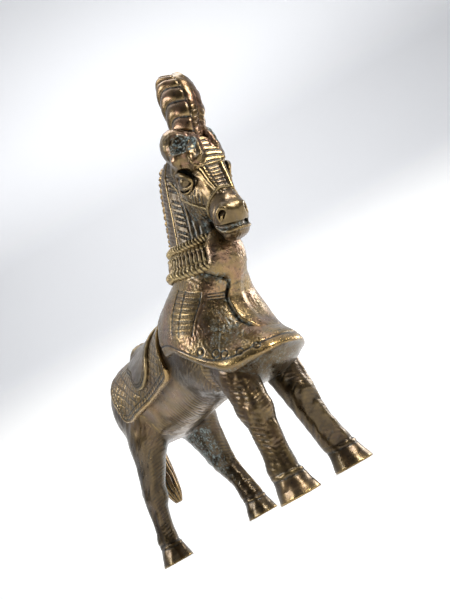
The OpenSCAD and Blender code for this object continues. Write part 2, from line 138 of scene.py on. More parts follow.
def hind_leg(side, y, hock):
    """A hind leg from the sole at y up to the hip. Its hock stands back by hock."""
    rows = [
        [0, 0, -0.9, 0, 6.3, 6.9], [0, 0, -0.4, 3.8, 5.2, 5.8], [0.1, 0, 0, 6.6, 4.2, 4.7],
        [0.2, 0, 0.4, 10, 4.2, 4.9], [0.5, 0.06, 0.4 * hock, 16, 3.8, 4.4],
        [1, 0.2, hock, 24, 4.4, 5.4], [1.5, 0.32, hock, 29.5, 5, 6.6],
        [2.6, 0.6, 0.4 * hock, 38, 6, 9], [4.2, 0.86, 0, 48, 7.4, 12], [5.6, 1, 0, 56, 7.6, 13],
        [7.4, 1, 0, 63, 6, 10],
    ]
    return [[side * (HIND_STANCE - s[0]), y + (HIP_Y - y) * s[1] + s[2], s[3], 0, s[4], s[5]]
            for s in rows]


LEGS = {
    "leg_front_right": front_leg(-1, 0), "leg_front_left": front_leg(1, 3.4),
    "leg_hind_right": hind_leg(-1, 57, 1.5), "leg_hind_left": hind_leg(1, 33, 4),
}

# ---------------------------------------------------------------- curves and rings


def spline(p, q, r, s, t):
    return 0.5 * (2 * q + (r - p) * t + (2 * p - 5 * q + 4 * r - s) * t * t
                  + (3 * q - p - 3 * r + s) * t * t * t)


def along(table, k):
    """A station or point at k, which may be an array, down a list."""
    table = np.asarray(table, float)
    k = np.asarray(k, float)
    i = np.clip(np.floor(k).astype(int), 0, len(table) - 2)
    last = len(table) - 1
    t = (k - i)[..., None]
    return spline(table[np.maximum(i - 1, 0)], table[i], table[i + 1],
                  table[np.minimum(i + 2, last)], t)


def smooth(table, steps):
    return along(table, np.linspace(0, len(table) - 1, (len(table) - 1) * steps + 1))


def smooth_bars(points, radii, fine):
    """A run of bars with fine steps between its points, as a path and its radii."""
    k = np.linspace(0, len(points) - 1, fine * (len(points) - 1) + 1)
    return along(points, k), along(np.array(radii, float)[:, None], k)[:, 0]


def grown(table, d):
    out = np.array(table, float)
    out[:, 4:] += d
    return out


def rim(s, a, d=0.0):
    """Points on a station's ellipse at a degrees, moved out from it by d."""
    s = np.asarray(s, float)
    a = np.radians(a)
    tilt = np.radians(s[..., 3])
    deep = (s[..., 5] + d) * np.sin(a)
    return np.stack([s[..., 0] + (s[..., 4] + d) * np.cos(a), s[..., 1] + deep * np.cos(tilt),
                     s[..., 2] + deep * np.sin(tilt)], -1)


def turned(p, degrees=-HEAD_TURN):
    """Turns points with the head."""
    a = math.radians(degrees)
    x, y = p[..., 0], p[..., 1] - HEAD_PIVOT_Y
    return np.stack([x * math.cos(a) - y * math.sin(a),
                     x * math.sin(a) + y * math.cos(a) + HEAD_PIVOT_Y, p[..., 2]], -1)


def head_frame(p):
    """Turns points back, to where they are before the head is turned."""
    return turned(p, HEAD_TURN)


def tube(rings, loop=False):
    """A closed mesh through an array of rings, [ring, side, xyz], as points and quads."""
    count, sides = rings.shape[:2]
    ids = np.arange(count * sides).reshape(count, sides)
    nxt = np.roll(ids, -1, axis=1)
    if loop:
        low, low_nxt, high, high_nxt = ids, nxt, np.roll(ids, -1, 0), np.roll(nxt, -1, 0)
    else:
        low, low_nxt, high, high_nxt = ids[:-1], nxt[:-1], ids[1:], nxt[1:]
    quads = np.stack([low, low_nxt, high_nxt, high], -1).reshape(-1, 4)
    points = rings.reshape(-1, 3)
    if not loop:
        caps = []
        for row, flip in ((ids[0], True), (ids[-1], False)):
            centre = len(points)
            points = np.vstack([points, points[row].mean(0)])
            fan = np.stack([row, np.roll(row, -1), np.full(sides, centre), np.full(sides, centre)], -1)
            caps.append(fan[:, [1, 0, 2, 3]] if flip else fan)
        quads = np.vstack([quads] + caps)
    return outward(points, quads)


def volume(points, quads):
    a, b, c, d = (points[quads[:, i]] for i in range(4))
    return (np.einsum("ij,ij->i", a, np.cross(b, c)) + np.einsum("ij,ij->i", a, np.cross(c, d))).sum()


def outward(points, quads):
    return (points, quads) if volume(points, quads) > 0 else (points, quads[:, ::-1])


def loft(table, sides=72, steps=10):
    stations = smooth(table, steps)
    return tube(rim(stations[:, None, :], np.linspace(0, 360, sides, endpoint=False)[None, :]))


def prism(outline, half=40.0, front=False):
    """A side view outline [y, z], carried across the horse; or a front view one [x, z], along it."""
    o = np.asarray(outline, float)
    ends = []
    for t in (-half, half):
        flat = np.full(len(o), t)
        ends.append(np.stack([o[:, 0], flat, o[:, 1]] if front else [flat, o[:, 0], o[:, 1]], -1))
    return tube(np.stack(ends))


def cord(path, radius, strands=0, twists=0.0, depth=0.2, sides=24, loop=False, out=None, broad=1.0):
    """A round or twisted cord along an array of points. out is the way its broad side lies."""
    if loop:
        ahead, behind = np.roll(path, -1, 0), np.roll(path, 1, 0)
    else:
        ahead, behind = np.vstack([path[1:], path[-1:]]), np.vstack([path[:1], path[:-1]])
    run = ahead - behind
    run /= np.linalg.norm(run, axis=1)[:, None]
    out = np.broadcast_to(out, path.shape)
    side = out - run * (out * run).sum(1)[:, None]
    side /= np.linalg.norm(side, axis=1)[:, None]
    other = np.cross(run, side)
    a = np.linspace(0, 2 * np.pi, sides, endpoint=False)[None, :]
    share = np.linspace(0, 1, len(path), endpoint=not loop)[:, None]
    lobe = 1.0
    if strands:
        turn = a - 2 * np.pi * twists * share
        lobe = 1 - depth + 2 * depth * np.abs(np.cos(0.5 * strands * turn)) ** 0.7
    r = np.asarray(radius).reshape(-1, 1) * lobe * np.ones_like(a)
    return tube(path[:, None, :] + r[..., None] * (broad * side[:, None, :] * np.cos(a)[..., None]
                                                 + other[:, None, :] * np.sin(a)[..., None]), loop)


# ---------------------------------------------------------------- solids on a lattice


def soft_min(a, b, k):
    h = np.clip(0.5 + 0.5 * (b - a) / k, 0, 1)
    return b + (a - b) * h - k * h * (1 - h)


def soft_max(a, b, k):
    return -soft_min(-a, -b, k)


class Lattice:
    """A box of cells. Its x, y and z are the cells' places, and hx, hy the same in the head's frame."""

    def __init__(self, low, high, cell):
        self.cell = cell * COARSE
        self.start = np.floor(np.array(low) / self.cell).astype(int)
        self.count = np.ceil(np.array(high) / self.cell).astype(int) - self.start + 1
        x, y, z = ((np.arange(n) + s) * self.cell for n, s in zip(self.count, self.start))
        self.x, self.y, self.z = (v.astype(np.float32).reshape(shape) for v, shape in
                                  ((x, (-1, 1, 1)), (y, (1, -1, 1)), (z, (1, 1, -1))))
        a = math.radians(HEAD_TURN)
        away = self.y - HEAD_PIVOT_Y
        self.hx = self.x * math.cos(a) - away * math.sin(a)
        self.hy = self.x * math.sin(a) + away * math.cos(a) + HEAD_PIVOT_Y

    def solid(self, mesh):
        points, quads = mesh
        grid = vdb.FloatGrid.createLevelSetFromPolygons(
            points.astype(np.float32), quads=quads.astype(np.uint32),
            transform=vdb.createLinearTransform(self.cell), halfWidth=float(BAND))
        out = np.empty(tuple(self.count), np.float32)
        grid.copyToArray(out, ijk=tuple(int(v) for v in self.start))
        return out

    def mesh(self, d):
        """The surface of a solid, as points and quads."""
        d = np.pad(d, 1, constant_values=3.0)
        grid = vdb.FloatGrid(3.0)
        grid.copyFromArray(np.ascontiguousarray(d, np.float32))
        points, _, quads = grid.convertToPolygons(isovalue=0.0, adaptivity=0.0)
        return outward((points.astype(float) - 1 + self.start) * self.cell, quads.astype(np.int64))

    def near(self, low, high, head=False):
        """The cells within FAR of a box, and their places, in the world or the head's frame."""
        low, high = np.array(low, float) - FAR, np.array(high, float) + FAR
        box = np.array([low, high])
        if head:
            corners = turned(np.array([[x, y, 0] for x in box[:, 0] for y in box[:, 1]]))
            box[:, :2] = corners[:, :2].min(0), corners[:, :2].max(0)
        start, stop = np.floor(box / self.cell).astype(int) - self.start + [[0], [1]]
        start, stop = np.clip(start, 0, self.count), np.clip(stop, 0, self.count)
        part = tuple(slice(int(a), int(max(a, b))) for a, b in zip(start, stop))
        if head:
            return part, self.hx[part[:2]], self.hy[part[:2]], self.z[:, :, part[2]]
        return part, self.x[part[0]], self.y[:, part[1]], self.z[:, :, part[2]]

    def empty(self):
        return np.full(tuple(self.count), NOWHERE, np.float32)

    def ball(self, centre, radii, spin=(0, 0, 0), head=False):
        """Distance to an ellipsoid, spun about X, Y and Z by spin in degrees."""
        reach = max(radii)
        part, x, y, z = self.near(np.subtract(centre, reach), np.add(centre, reach), head)
        p = [x - centre[0], y - centre[1], z - centre[2]]
        if any(spin):
            m = np.array(Matrix.Rotation(math.radians(spin[2]), 3, "Z")
                         @ Matrix.Rotation(math.radians(spin[1]), 3, "Y")
                         @ Matrix.Rotation(math.radians(spin[0]), 3, "X")).T
            p = [sum(float(m[i, j]) * p[j] for j in range(3)) for i in range(3)]
        near = np.sqrt(sum((v / r) ** 2 for v, r in zip(p, radii))) + 1e-6
        steep = np.sqrt(sum((v / (r * r)) ** 2 for v, r in zip(p, radii))) + 1e-6
        out = self.empty()
        out[part] = near * (near - 1) / steep
        return out

    def bend(self, points, radii, head=False):
        """Distance to a run of round bars through points, whose radius changes on the way."""
        out = self.empty()
        for a, b, ra, rb in zip(points[:-1], points[1:], radii[:-1], radii[1:]):
            a, b, thick = np.array(a, float), np.array(b, float), max(ra, rb)
            part, x, y, z = self.near(np.minimum(a, b) - thick, np.maximum(a, b) + thick, head)
            run = b - a
            p = [x - a[0], y - a[1], z - a[2]]
            t = np.clip(sum(float(v) * q for v, q in zip(run, p)) / float(run @ run), 0, 1)
            d = np.sqrt(sum((q - float(v) * t) ** 2 for v, q in zip(run, p))) - (ra + (rb - ra) * t)
            out[part] = np.minimum(out[part], d)
        return out

    def rod(self, a, b, ra, rb, head=False):
        return self.bend([a, b], [ra, rb], head)

    def value(self, d, p):
        """Distances at free points, between the cells."""
        q = p / self.cell - self.start
        i = np.clip(np.floor(q).astype(int), 0, self.count - 2)
        t = q - i
        out = 0.0
        for c in range(8):
            step = np.array([c & 1, (c >> 1) & 1, (c >> 2) & 1])
            w = np.prod(np.where(step, t, 1 - t), axis=-1)
            j = i + step
            out = out + w * d[j[..., 0], j[..., 1], j[..., 2]]
        return out

    def settle(self, d, p, height):
        """Moves points to stand height above the solid's surface."""
        for _ in range(6):
            slope = np.stack([self.value(d, p + e) - self.value(d, p - e) for e in np.eye(3) * 0.4], -1)
            slope /= np.linalg.norm(slope, axis=1)[:, None] + 1e-9
            p = p - slope * (self.value(d, p) - height)[:, None]
        return p


# ---------------------------------------------------------------- the horse's own solids


def both(make):
    """A shape on the left and its mirror on the right, as one."""
    return np.minimum(make(1), make(-1))


def body_solid(g):
    d = g.solid(loft(BODY))
    d = soft_min(d, both(lambda s: g.ball((s * 9.6, 49, 66), (8.2, 13, 15.5))), 5)
    d = soft_min(d, both(lambda s: g.ball((s * 9, -20, 58), (8.6, 12, 15.5), (12, 0, 0))), 5)
    d = soft_min(d, g.ball((0, 52, 82), (7, 12, 3.2)), 5)
    d = soft_min(d, both(lambda s: g.ball((s * 10.5, 30, 58), (6.4, 9, 10))), 5)
    d = soft_max(d, -both(lambda s: g.ball((s * 20.5, 27.5, 49), (5, 6, 9))), 4)
    return d


def leg_solid(g, name):
    table = LEGS[name]
    side = 1 if name.endswith("left") else -1
    d = g.solid(loft(table, 56))
    foot = table[0]
    x, y = foot[0], foot[1]
    if "front" in name:
        knee = along(table, 6.0)
        d = soft_min(d, g.ball((knee[0], knee[1] - 2.6, 28.5), (4.3, 3.6, 5)), 1.6)
        d = soft_min(d, g.ball((knee[0] + side * 1.6, knee[1] + 2.6, 30), (3, 3.4, 4)), 1.6)
        high = along(table, 8.0)
        d = soft_min(d, g.ball((high[0] + side * 1.4, high[1] - 1.2, 43), (5, 5.8, 8.6)), 2.5)
        shin = along(table, 4.6)
        d = soft_min(d, g.rod((x, y - 3, 7), (shin[0], shin[1] - 3.9, 22), 1.6, 1.5), 1.8)
    else:
        hock = along(table, 6.0)
        d = soft_min(d, g.ball((hock[0], hock[1] + 4.8, 30.5), (2.9, 3, 3.6)), 2)
        d = soft_min(d, g.ball((hock[0], hock[1] - 1, 27), (4.6, 4.4, 4.4)), 2)
        high = along(table, 8.0)
        d = soft_min(d, g.ball((high[0] + side * 1.4, high[1] - 2, 49), (6.6, 10.5, 9.5)), 3)
        d = soft_min(d, g.rod((hock[0], hock[1] + 5.2, 31), (high[0], high[1] + 9, 46), 2, 2.6), 3)
    d = soft_min(d, g.ball((x, y + 2.4, 10.4), (3.9, 3.4, 3)), 1.4)
    # A chased ridge down the outer front corner
    k = np.linspace(2.6, 9, 16)
    s = along(table, k)
    corner = s[:, :3] + np.stack([side * 0.5 * s[:, 4], -0.74 * s[:, 5], 0 * k], -1)
    d = soft_min(d, g.bend(corner, 0.9 + 0.05 * s[:, 4]), 1.1)
    # The hoof: flared and a little squared off, longer at the toe
    top, square = 7, 2.4
    part, gx, gy, gz = g.near((x - 8, y - 10, -2), (x + 8, y + 8, 4))
    low = np.clip(top - gz, 0, 8)
    flare = 1 + 0.02 * low ** 1.5
    away = gy - y + 0.1 + 0.14 * low
    wide, deep = np.abs(gx - x) / (4.1 * flare), np.abs(away) / (4.6 * flare)
    foot_out = (wide ** square + deep ** square) ** (1 / square)
    hoof = g.empty()
    hoof[part] = np.maximum((foot_out - 1) * 4.3, gz - top)
    return np.maximum(soft_min(d, hoof, 1.8), -g.z)


def neck_solid(g):
    d = g.solid(loft(NECK))
    d = soft_min(d, g.bend([(0, -52.2, 106), (0, -48.4, 96), (0, -46.5, 88)], [3.4, 3.8, 4]), 3)
    return d


EYE = np.array([6.6, -58.6, 105.4])


def mid_face(z):
    """The face's middle line leans a little to the horse's right towards the muzzle."""
    return -0.2 - 1.3 * np.clip((104 - z) / 12, 0, 1.15)


def head_bend(g, points, radii, fine=6, middle=float(mid_face(104.0))):
    """A smooth run of bars on both sides of the face's middle. Points are for the left side."""
    path, r = smooth_bars(points, radii, fine)
    return both(lambda s: g.bend(path * [s, 1, 1] + [[middle, 0, 0]], r, True))


def head_ball(g, centre, radii, spin=(0, 0, 0)):
    shift = float(mid_face(centre[2]))
    return both(lambda s: g.ball((shift + s * centre[0], centre[1], centre[2]), radii, spin, True))


def head_solid(g):
    points, quads = loft(HEAD)
    d = g.solid((turned(points), quads))
    d = soft_min(d, head_ball(g, (5, -53.4, 101), (3.4, 6, 8.4), (-14, 0, 0)), 2.5)
    # The nose narrows forwards from the cheeks
    aside = np.abs(g.hx - mid_face(g.z).astype(np.float32))
    flank = (aside - 3.5 - 0.62 * (g.hy + 66.2)) / 1.18
    window = step(88, 92, g.z) * step(107.5, 104, g.z)
    d = soft_max(d, (flank - 6 * (1 - window)).astype(np.float32), 0.9)
    # Sockets
    d = soft_max(d, -head_ball(g, (9.2, -60, 104.8), (2.8, 4.6, 4.4), (14, 0, 0)), 1.2)
    d = soft_max(d, -head_ball(g, (6.4, -63.6, 100.2), (1.5, 1.5, 3.4), (-24, 0, 0)), 0.9)
    # The flat forehead and the flat bridge of the nose below it
    plane = -(g.hy + 66.6) + 0.04 * (g.z - 104)
    d = soft_max(d, plane.astype(np.float32), 0.4)
    slab = np.maximum(aside - 6 + 0.06 * (g.z - 108) ** 2 * (g.z > 108), np.abs(g.hy + 65) - 2.1)
    slab = np.maximum(slab, np.maximum(g.z - 117, 103.2 + 0.04 * aside ** 2 - g.z))
    d = soft_min(d, slab.astype(np.float32), 0.6)
    d = soft_min(d, head_bend(g, [(4.6, -65.4, 107.6), (3.5, -66, 103.6), (3, -66, 98), (2.3, -66.2, 92.4)],
                              [1.0, 1.15, 1.1, 0.8]), 0.7)
    # Brows that run from behind the eye into the ridge of the nose
    d = soft_min(d, head_bend(g, [(7.2, -54.2, 109.6), (8.1, -57.6, 111.4), (7.1, -61.8, 110.4),
                                  (5.4, -64.6, 106.6)], [1.4, 2.1, 2.4, 1.3]), 1.2)
    # Eyeballs between heavy lids, in a dark hollow that runs down towards the nose
    d = soft_max(d, -head_ball(g, EYE + [1.3, -0.6, 0], (2.5, 3.6, 4.9), (-40, 0, 0)), 0.9)
    d = np.minimum(d, head_ball(g, EYE + [0.6, 0, 0], (2.8, 2.9, 2.9)))
    t = np.sin(np.linspace(-math.pi / 2, math.pi / 2, 15))
    bow = np.sqrt(1 - t ** 2)
    lids = []
    for high, r in ((2.6, 0.85), (-2.2, 0.65), (-4.0, 0.4)):
        lid = EYE + np.stack([2.6 - 1.4 * t ** 2 - 0.6 * t, -3.3 * t - 0.76 * high * bow,
                              -3.6 * t + 0.65 * high * bow], -1)
        lids.append(head_bend(g, lid, r * (0.5 + 0.5 * bow), 1))
    d = soft_min(d, np.minimum.reduce(lids), 0.25)
    # Muzzle and lower lip
    cx = float(mid_face(84.0))

    def muzzle_bend(points, radii):
        return head_bend(g, points, radii, 5, cx)

    d = soft_min(d, g.ball((cx, -62.8, 84.9), (5, 4.9, 4.6), head=True), 1.2)
    d = soft_min(d, both(lambda s: g.ball((cx + s * 2.5, -65, 85.6), (2.6, 2.5, 2.6), head=True)), 0.9)
    d = soft_min(d, g.ball((cx, -60.2, 79.9), (4.6, 4.6, 2.5), (14, 0, 0), head=True), 0.4)
    cut = [(0, -65, 79.7), (2, -64.6, 80), (3.7, -63.2, 80.9), (4.9, -61.2, 82.6), (5.4, -59.4, 84.8)]
    d = soft_max(d, -muzzle_bend(cut, [0.75, 0.85, 0.9, 0.8, 0.4]), 0.3)
    lip = [(0, -64.8, 78.3), (2.2, -64.2, 78.6), (4, -62.6, 79.6), (5, -60.8, 81.2)]
    d = soft_min(d, muzzle_bend(lip, [0.5, 0.6, 0.6, 0.4]), 0.5)
    # Nostrils: a hollow under a rolled rim
    holes = both(lambda s: g.ball((cx + s * 4.3, -65.4, 84.5), (1.5, 1.7, 1.25), (0, s * 24, 0), True))
    d = soft_max(d, -holes, 0.4)
    rim_line = [(3.1, -67.2, 85.2), (3.9, -66.8, 86.2), (4.8, -65.4, 86.3), (5.3, -64, 85.2),
                (5.2, -63.4, 83.6)]
    d = soft_min(d, muzzle_bend(rim_line, [0.35, 0.5, 0.55, 0.5, 0.35]), 0.4)
    d = soft_min(d, muzzle_bend([(4.5, -65.3, 83.9), (5, -64.3, 83.1)], [0.4, 0.3]), 0.3)
    # Wrinkles above the nostrils
    wrinkles = (
        ([(1, -67.6, 90.2), (3.4, -66.9, 89.8), (5, -64.8, 88.4), (5.9, -62, 86), (6, -60.4, 83.8)], 0.5),
        ([(3.2, -66.6, 92), (5, -64.6, 91.2), (6, -61.6, 88.8), (6.4, -59.4, 85.6)], 0.45),
    )
    for line, r in wrinkles:
        d = soft_max(d, -muzzle_bend(line, [0.6 * r] + [r] * (len(line) - 2) + [0.6 * r]), 0.35)
    return d


def ear_solid(g, side):
    """A big hooded ear that opens forwards. The right one hangs over the forehead."""
    if side > 0:
        d = g.ball((6.8, -60, 117.2), (3.8, 6, 6.6), (-20, 0, 0), head=True)
        d = soft_max(d, -g.ball((8.8, -65, 116.6), (3, 4, 3.9), (-20, 0, 0), head=True), 0.6)
        brim = [(5.6, -62.4, 122.4), (5.4, -65.4, 120), (5, -67, 116), (5.6, -67, 111)]
        return soft_min(d, g.bend(brim, [1.2, 1.2, 1, 0.6], True), 0.8)
    d = g.ball((-5.6, -61.6, 117.8), (5.6, 6.2, 7.4), (-16, 0, 0), head=True)
    d = soft_min(d, g.ball((-6.9, -63.8, 110.8), (4.4, 3.6, 3.2), (20, 0, 0), head=True), 1.6)
    cup = g.ball((-6.5, -68, 114), (4.7, 3.9, 3.1), (-10, -14, 0), head=True)
    d = soft_max(d, -cup, 0.5)
    edge = np.array([(-3.6, -64.8, 121), (-1.6, -66.6, 118), (-1.1, -67.6, 114.6), (-1.5, -68.1, 111.2),
                     (-2.1, -68.1, 108.2), (-3.6, -67.8, 106.6), (-5.6, -67, 106.6)])
    d = soft_min(d, g.bend(*smooth_bars(edge, [0.7, 0.9, 0.75, 0.7, 0.8, 0.8, 0.6], 5), True), 0.7)
    web = g.ball((-4.2, -66.2, 109.4), (2.6, 1.5, 3.4), (0, -10, 0), head=True)
    d = soft_min(d, web, 0.9)
    folds = (
        ([(-3.4, -66.4, 115.6), (-5.4, -65.2, 114.6), (-7.6, -64.8, 115.2), (-10, -63.4, 114)], 0.5),
        ([(-2.8, -66.8, 112.6), (-5, -65.6, 112.4), (-8.2, -64.8, 112), (-10.4, -63.2, 111.4)], 0.45),
        ([(-5.4, -65.4, 114.6), (-6.4, -65.2, 112.2)], 0.4),
    )
    folds = [g.bend(line, [r] * len(line), True) for line, r in folds]
    return soft_min(d, np.minimum.reduce(folds), 0.5)


# ---------------------------------------------------------------- noise and lines for chasing


def waves(p, scale, seed, count=7):
    """Smooth noise about 0, with bumps about scale mm apart."""
    rng = np.random.default_rng(seed)
    turn = rng.normal(size=(count, 3))
    turn *= (2 * np.pi / scale) * rng.uniform(0.6, 1.3, (count, 1)) / np.linalg.norm(turn, axis=1)[:, None]
    phase = rng.uniform(0, 2 * np.pi, count)
    return np.sin(p @ turn.T + phase).sum(1) / math.sqrt(count)


def scatter(cells, seed):
    """A number from 0 to 1 for each whole number."""
    return np.modf(np.abs(np.sin(cells * 12.9898 + seed * 78.233) * 43758.5453))[0]


def step(low, high, v):
    t = np.clip((v - low) / (high - low), 0, 1)
    return t * t * (3 - 2 * t)


def ridge(v, width):
    """1 where v is 0, falling away over width on both sides."""
    return np.exp(-(v / width) ** 2)


def stripes(v, width):
    """1 halfway between whole numbers, falling away over width."""
    return ridge(np.modf(v)[0] - 0.5, width)


def fill(marks, key, amount):
    marks[key] = np.maximum(marks[key], amount)


def strokes(across, run, gap, length, seed, width=0.3):
    """Chisel strokes: 1 in the middle of a stroke and 0 between strokes."""
    row = np.floor(across / gap)
    shift = scatter(row, seed)
    place = np.modf(np.abs(run / length + shift * 7 + 50))[0]
    wobble = (scatter(row + 0.5 + np.floor(run / length + shift * 7 + 50) * 17, seed) - 0.5) * 0.3
    off = np.abs(across / gap - row - 0.5 + wobble) * gap
    ends = step(0.0, 0.14, place) * step(1.0, 0.82, place)
    return ridge(off, width) * ends


def line_gap(u, v, outline):
    """Distance in a flat view from points (u, v) to a line through outline's points."""
    best = np.full(len(u), 1e9)
    for a, b in zip(outline[:-1], outline[1:]):
        run = np.subtract(b, a)
        t = np.clip(((u - a[0]) * run[0] + (v - a[1]) * run[1]) / (run @ run), 0, 1)
        best = np.minimum(best, np.hypot(u - a[0] - t * run[0], v - a[1] - t * run[1]))
    return best


def place_on(table, p):
    """How far down a list of stations points are, and how deep (-1 to 1) in its ellipse."""
    k = np.linspace(0, len(table) - 1, 200)
    s = along(table, k)
    tilt = np.radians(s[:, 3])
    dy = p[:, 1, None] - s[None, :, 1]
    dz = p[:, 2, None] - s[None, :, 2]
    off = np.abs(-dy * np.sin(tilt) + dz * np.cos(tilt))
    best = off.argmin(1)
    rows = np.arange(len(p))
    deep = (dy * np.cos(tilt) + dz * np.sin(tilt))[rows, best] / s[best, 5]
    wide = (p[:, 0] - s[best, 0]) / s[best, 4]
    return k[best], deep, wide


# ---------------------------------------------------------------- chasing, piece by piece

# Each of these takes points, their normals and the marks to fill in, and gives the depth to cut.


def hem_height(y):
    hem = smooth(np.array(HEM), 8)
    order = np.argsort(hem[:, 0])
    return np.interp(y, hem[order, 0], hem[order, 1])


def chase_body(p, n, m):
    flow = waves(p, 16, 3) * 1.6
    side = np.abs(n[:, 0])
    back = p[:, 1]
    shoulder = step(-2, -12, back) * step(84, 70, p[:, 2])
    lean = 0.5 + 0.05 * (p[:, 2] - 50)
    across = p[:, 1] * 0.9 + p[:, 2] * lean * 0.5 + flow + p[:, 0] * 0.2 * (1 - side)
    coat = strokes(across, p[:, 2] + flow, 1.25, 6.5, 1) * shoulder
    round_belly = strokes(p[:, 1] + 0.03 * (p[:, 0] ** 2) + flow, p[:, 0] * 1.3 + p[:, 2], 1.5, 8, 2)
    belly = round_belly * step(52, 46, p[:, 2]) * step(34, 18, back) * step(-38, -30, back)
    haunch = strokes(p[:, 2] * 0.7 + p[:, 1] * 0.7 + flow, p[:, 1] - p[:, 2], 2.1, 7, 5)
    haunch = haunch * step(34, 42, back)
    cut = np.maximum(coat, np.maximum(belly, haunch * 0.45))
    fill(m, "groove", cut * 0.5)
    m["old"] = np.maximum(0.65 * shoulder, 0.45 * step(36, 52, back) * step(80, 62, p[:, 2]))
    return cut * 0.2 + waves(p, 4.5, 8) * 0.06


def chase_leg(name):
    side = 1 if name.endswith("left") else -1

    def chase(p, n, m):
        z = p[:, 2]
        outer = step(0.1, 0.7, n[:, 0] * side)
        front = step(0.25, 0.75, -n[:, 1])
        inner = step(0.2, 0.8, -n[:, 0] * side)
        above_hoof = step(8, 11, z)
        flow = waves(p, 14, 21) * 0.25
        barbs = strokes(z * 0.8 - p[:, 1] * 0.55 + flow, p[:, 1] * 0.8 + z * 0.6, 1.5, 5.5, 11, 0.22)
        ladder = strokes(z + 0.3 * side * p[:, 0] + flow, p[:, 0] * 2 + 3, 1.35, 9, 13, 0.22)
        ticks = strokes(z * 0.8 + p[:, 1] * 0.6 + flow, p[:, 1] + p[:, 0], 2.4, 4.4, 17, 0.24)
        ticks *= scatter(np.floor(z / 3.1) + 9 * np.floor(p[:, 1] / 3.3), 18) > 0.45
        if "front" in name:
            cut = np.maximum(barbs * outer, np.maximum(ladder * front * 0.45, ticks * inner * 0.8))
            low = step(58, 40, z)
        else:
            cut = np.maximum(ticks * outer, np.maximum(ladder * front * 0.6, ticks * inner * 0.8))
            low = step(66, 34, z)
        patchy = step(-0.9, 0.5, waves(p, 12, 23))
        cut = cut * above_hoof * low * (0.35 + 0.65 * patchy)
        slant = z - 0.12 * (p[:, 1] - LEGS[name][0][1])
        coronet = 0.8 * ridge(slant - 6.6, 0.28) + 0.45 * ridge(slant - 8.4, 0.25)
        nail = ridge(z - 3.0, 0.22) * 0.35
        total = np.maximum(cut, coronet * step(0, 0.3, np.hypot(n[:, 0], n[:, 1])))
        fill(m, "groove", np.clip(total, 0, 1) * 0.55)
        fill(m, "worn", 0.9 * step(1.2, 0.3, z) + 0.15 * step(4.6, 2.4, z))
        # Painted shade: each leg darkens towards the ground, the near front right one least, and the hind
        # legs darken further low down.
        m["old"] = np.full(len(z), 0.3 if name == "leg_front_right" else 0.62) * step(62, 30, z)
        if "hind" in name:
            fill(m, "green", 0.85 * inner * step(58, 44, z) * step(16, 30, z))
            fill(m, "old", 0.8 * step(60, 40, z))
        else:
            fill(m, "green", 0.25 * inner * step(30, 48, z))
        return total * 0.2 + nail * 0.15 + waves(p, 4, 31) * 0.07

    return chase


def chase_neck(p, _n, m):
    k, deep, _ = place_on(NECK, p)
    length = k * 9.4
    inside = ridge(deep - 0.02, 0.035)
    flank = step(-0.06, -0.1, deep) * step(-0.5, -0.46, deep)
    herring = strokes(length - deep * 8, 3.0, 2.3, 6.4, 41, 0.22) * flank
    ribs = stripes(np.abs(deep * 7.0 + 20), 0.2) * step(-0.46, -0.52, deep)
    ribs *= 0.8 + 0.2 * waves(p, 6, 43)
    coat = strokes(length - deep * 6, deep * 10, 1.6, 5, 42, 0.24) * step(0.1, 0.16, deep) * 0.5
    cut = np.maximum.reduce([herring, ribs, coat])
    fill(m, "groove", np.clip(0.75 * cut + 0.25 * step(-0.1, -0.2, deep), 0, 1))
    fill(m, "worn", inside * 0.4)
    m["old"] = 0.5 * step(0.1, -0.1, deep) + 0.25
    fill(m, "green", 0.3 * step(-0.5, -0.9, deep))
    return cut * 0.42 - inside * 0.4 + waves(p, 3, 44) * 0.04


def chase_head(p, n, m):
    q = head_frame(p)
    x, y, z = q.T
    off = np.abs(x - mid_face(z))
    face = step(0.6, 0.85, -n[:, 1])
    face *= step(-64.8, -65.6, y)
    forehead = face * step(103.4, 104.2, z) * step(6.2, 5.6, off)
    nose = face * step(103, 102.2, z) * step(90.5, 92.5, z) * step(3.2, 2.7, off)
    bars = stripes(z / 2.3 + 20 + 0.015 * x * x, 0.17) * forehead
    fine = stripes(z / 1.5 + 20 - 0.02 * x * x, 0.2) * nose * 0.8
    edge = ridge(z - 103.1 - 0.04 * off ** 2, 0.35) * face
    flow = waves(p, 7, 51) * 0.5
    cheek = step(-62.5, -59.5, y) * step(101.5, 99.5, z) * step(84, 88, z) * step(0.2, 0.5, np.abs(n[:, 0]))
    hair = strokes(y * 0.75 + z * 0.6 + flow, z - y, 1.15, 4.6, 52, 0.26) * cheek
    behind = step(-56, -52.5, y) * step(100, 104, z) * step(118, 114, z)
    hair = np.maximum(hair, strokes(y + z * 0.25 + flow, z, 1.3, 5, 53, 0.26) * behind)
    chin = strokes(x + flow, y, 1.1, 4, 54, 0.24) * step(81, 79.5, z)
    cut = np.maximum.reduce([bars, fine, edge, hair, chin * 0.4])
    fill(m, "groove", np.clip(0.8 * cut, 0, 1))
    around = np.linalg.norm((np.stack([np.abs(x + 0.2), y, z], -1) - EYE) / [4, 5.4, 4.6], axis=1)
    m["old"] = np.maximum.reduce([0.55 * step(1.15, 0.8, around), 0.4 * cheek, 0.4 * behind,
                                  0.3 * step(90, 86, z)])
    muzzle = step(92, 88, z) * step(-60, -63.5, y)
    nose_edge = step(2.4, 3, off) * step(6, 5, off) * step(-63.6, -64.6, y)
    nose_edge = nose_edge * step(90, 93, z) * step(109, 105, z)
    fill(m, "worn", np.maximum(muzzle * 0.12, nose_edge * 0.6))
    fill(m, "worn", 0.25 * forehead * (1 - bars))
    fill(m, "pink", forehead * step(-0.2, 0.6, np.sin(z * 2 * np.pi / 4.6)))
    mouth = ridge(z - 79.9 - 0.32 * np.clip(y + 64.4, 0, 9) ** 1.5, 0.75) * step(-58.6, -60, y)
    fill(m, "green", mouth * 0.9)
    return cut * 0.2 + waves(p, 2.2, 55) * 0.03


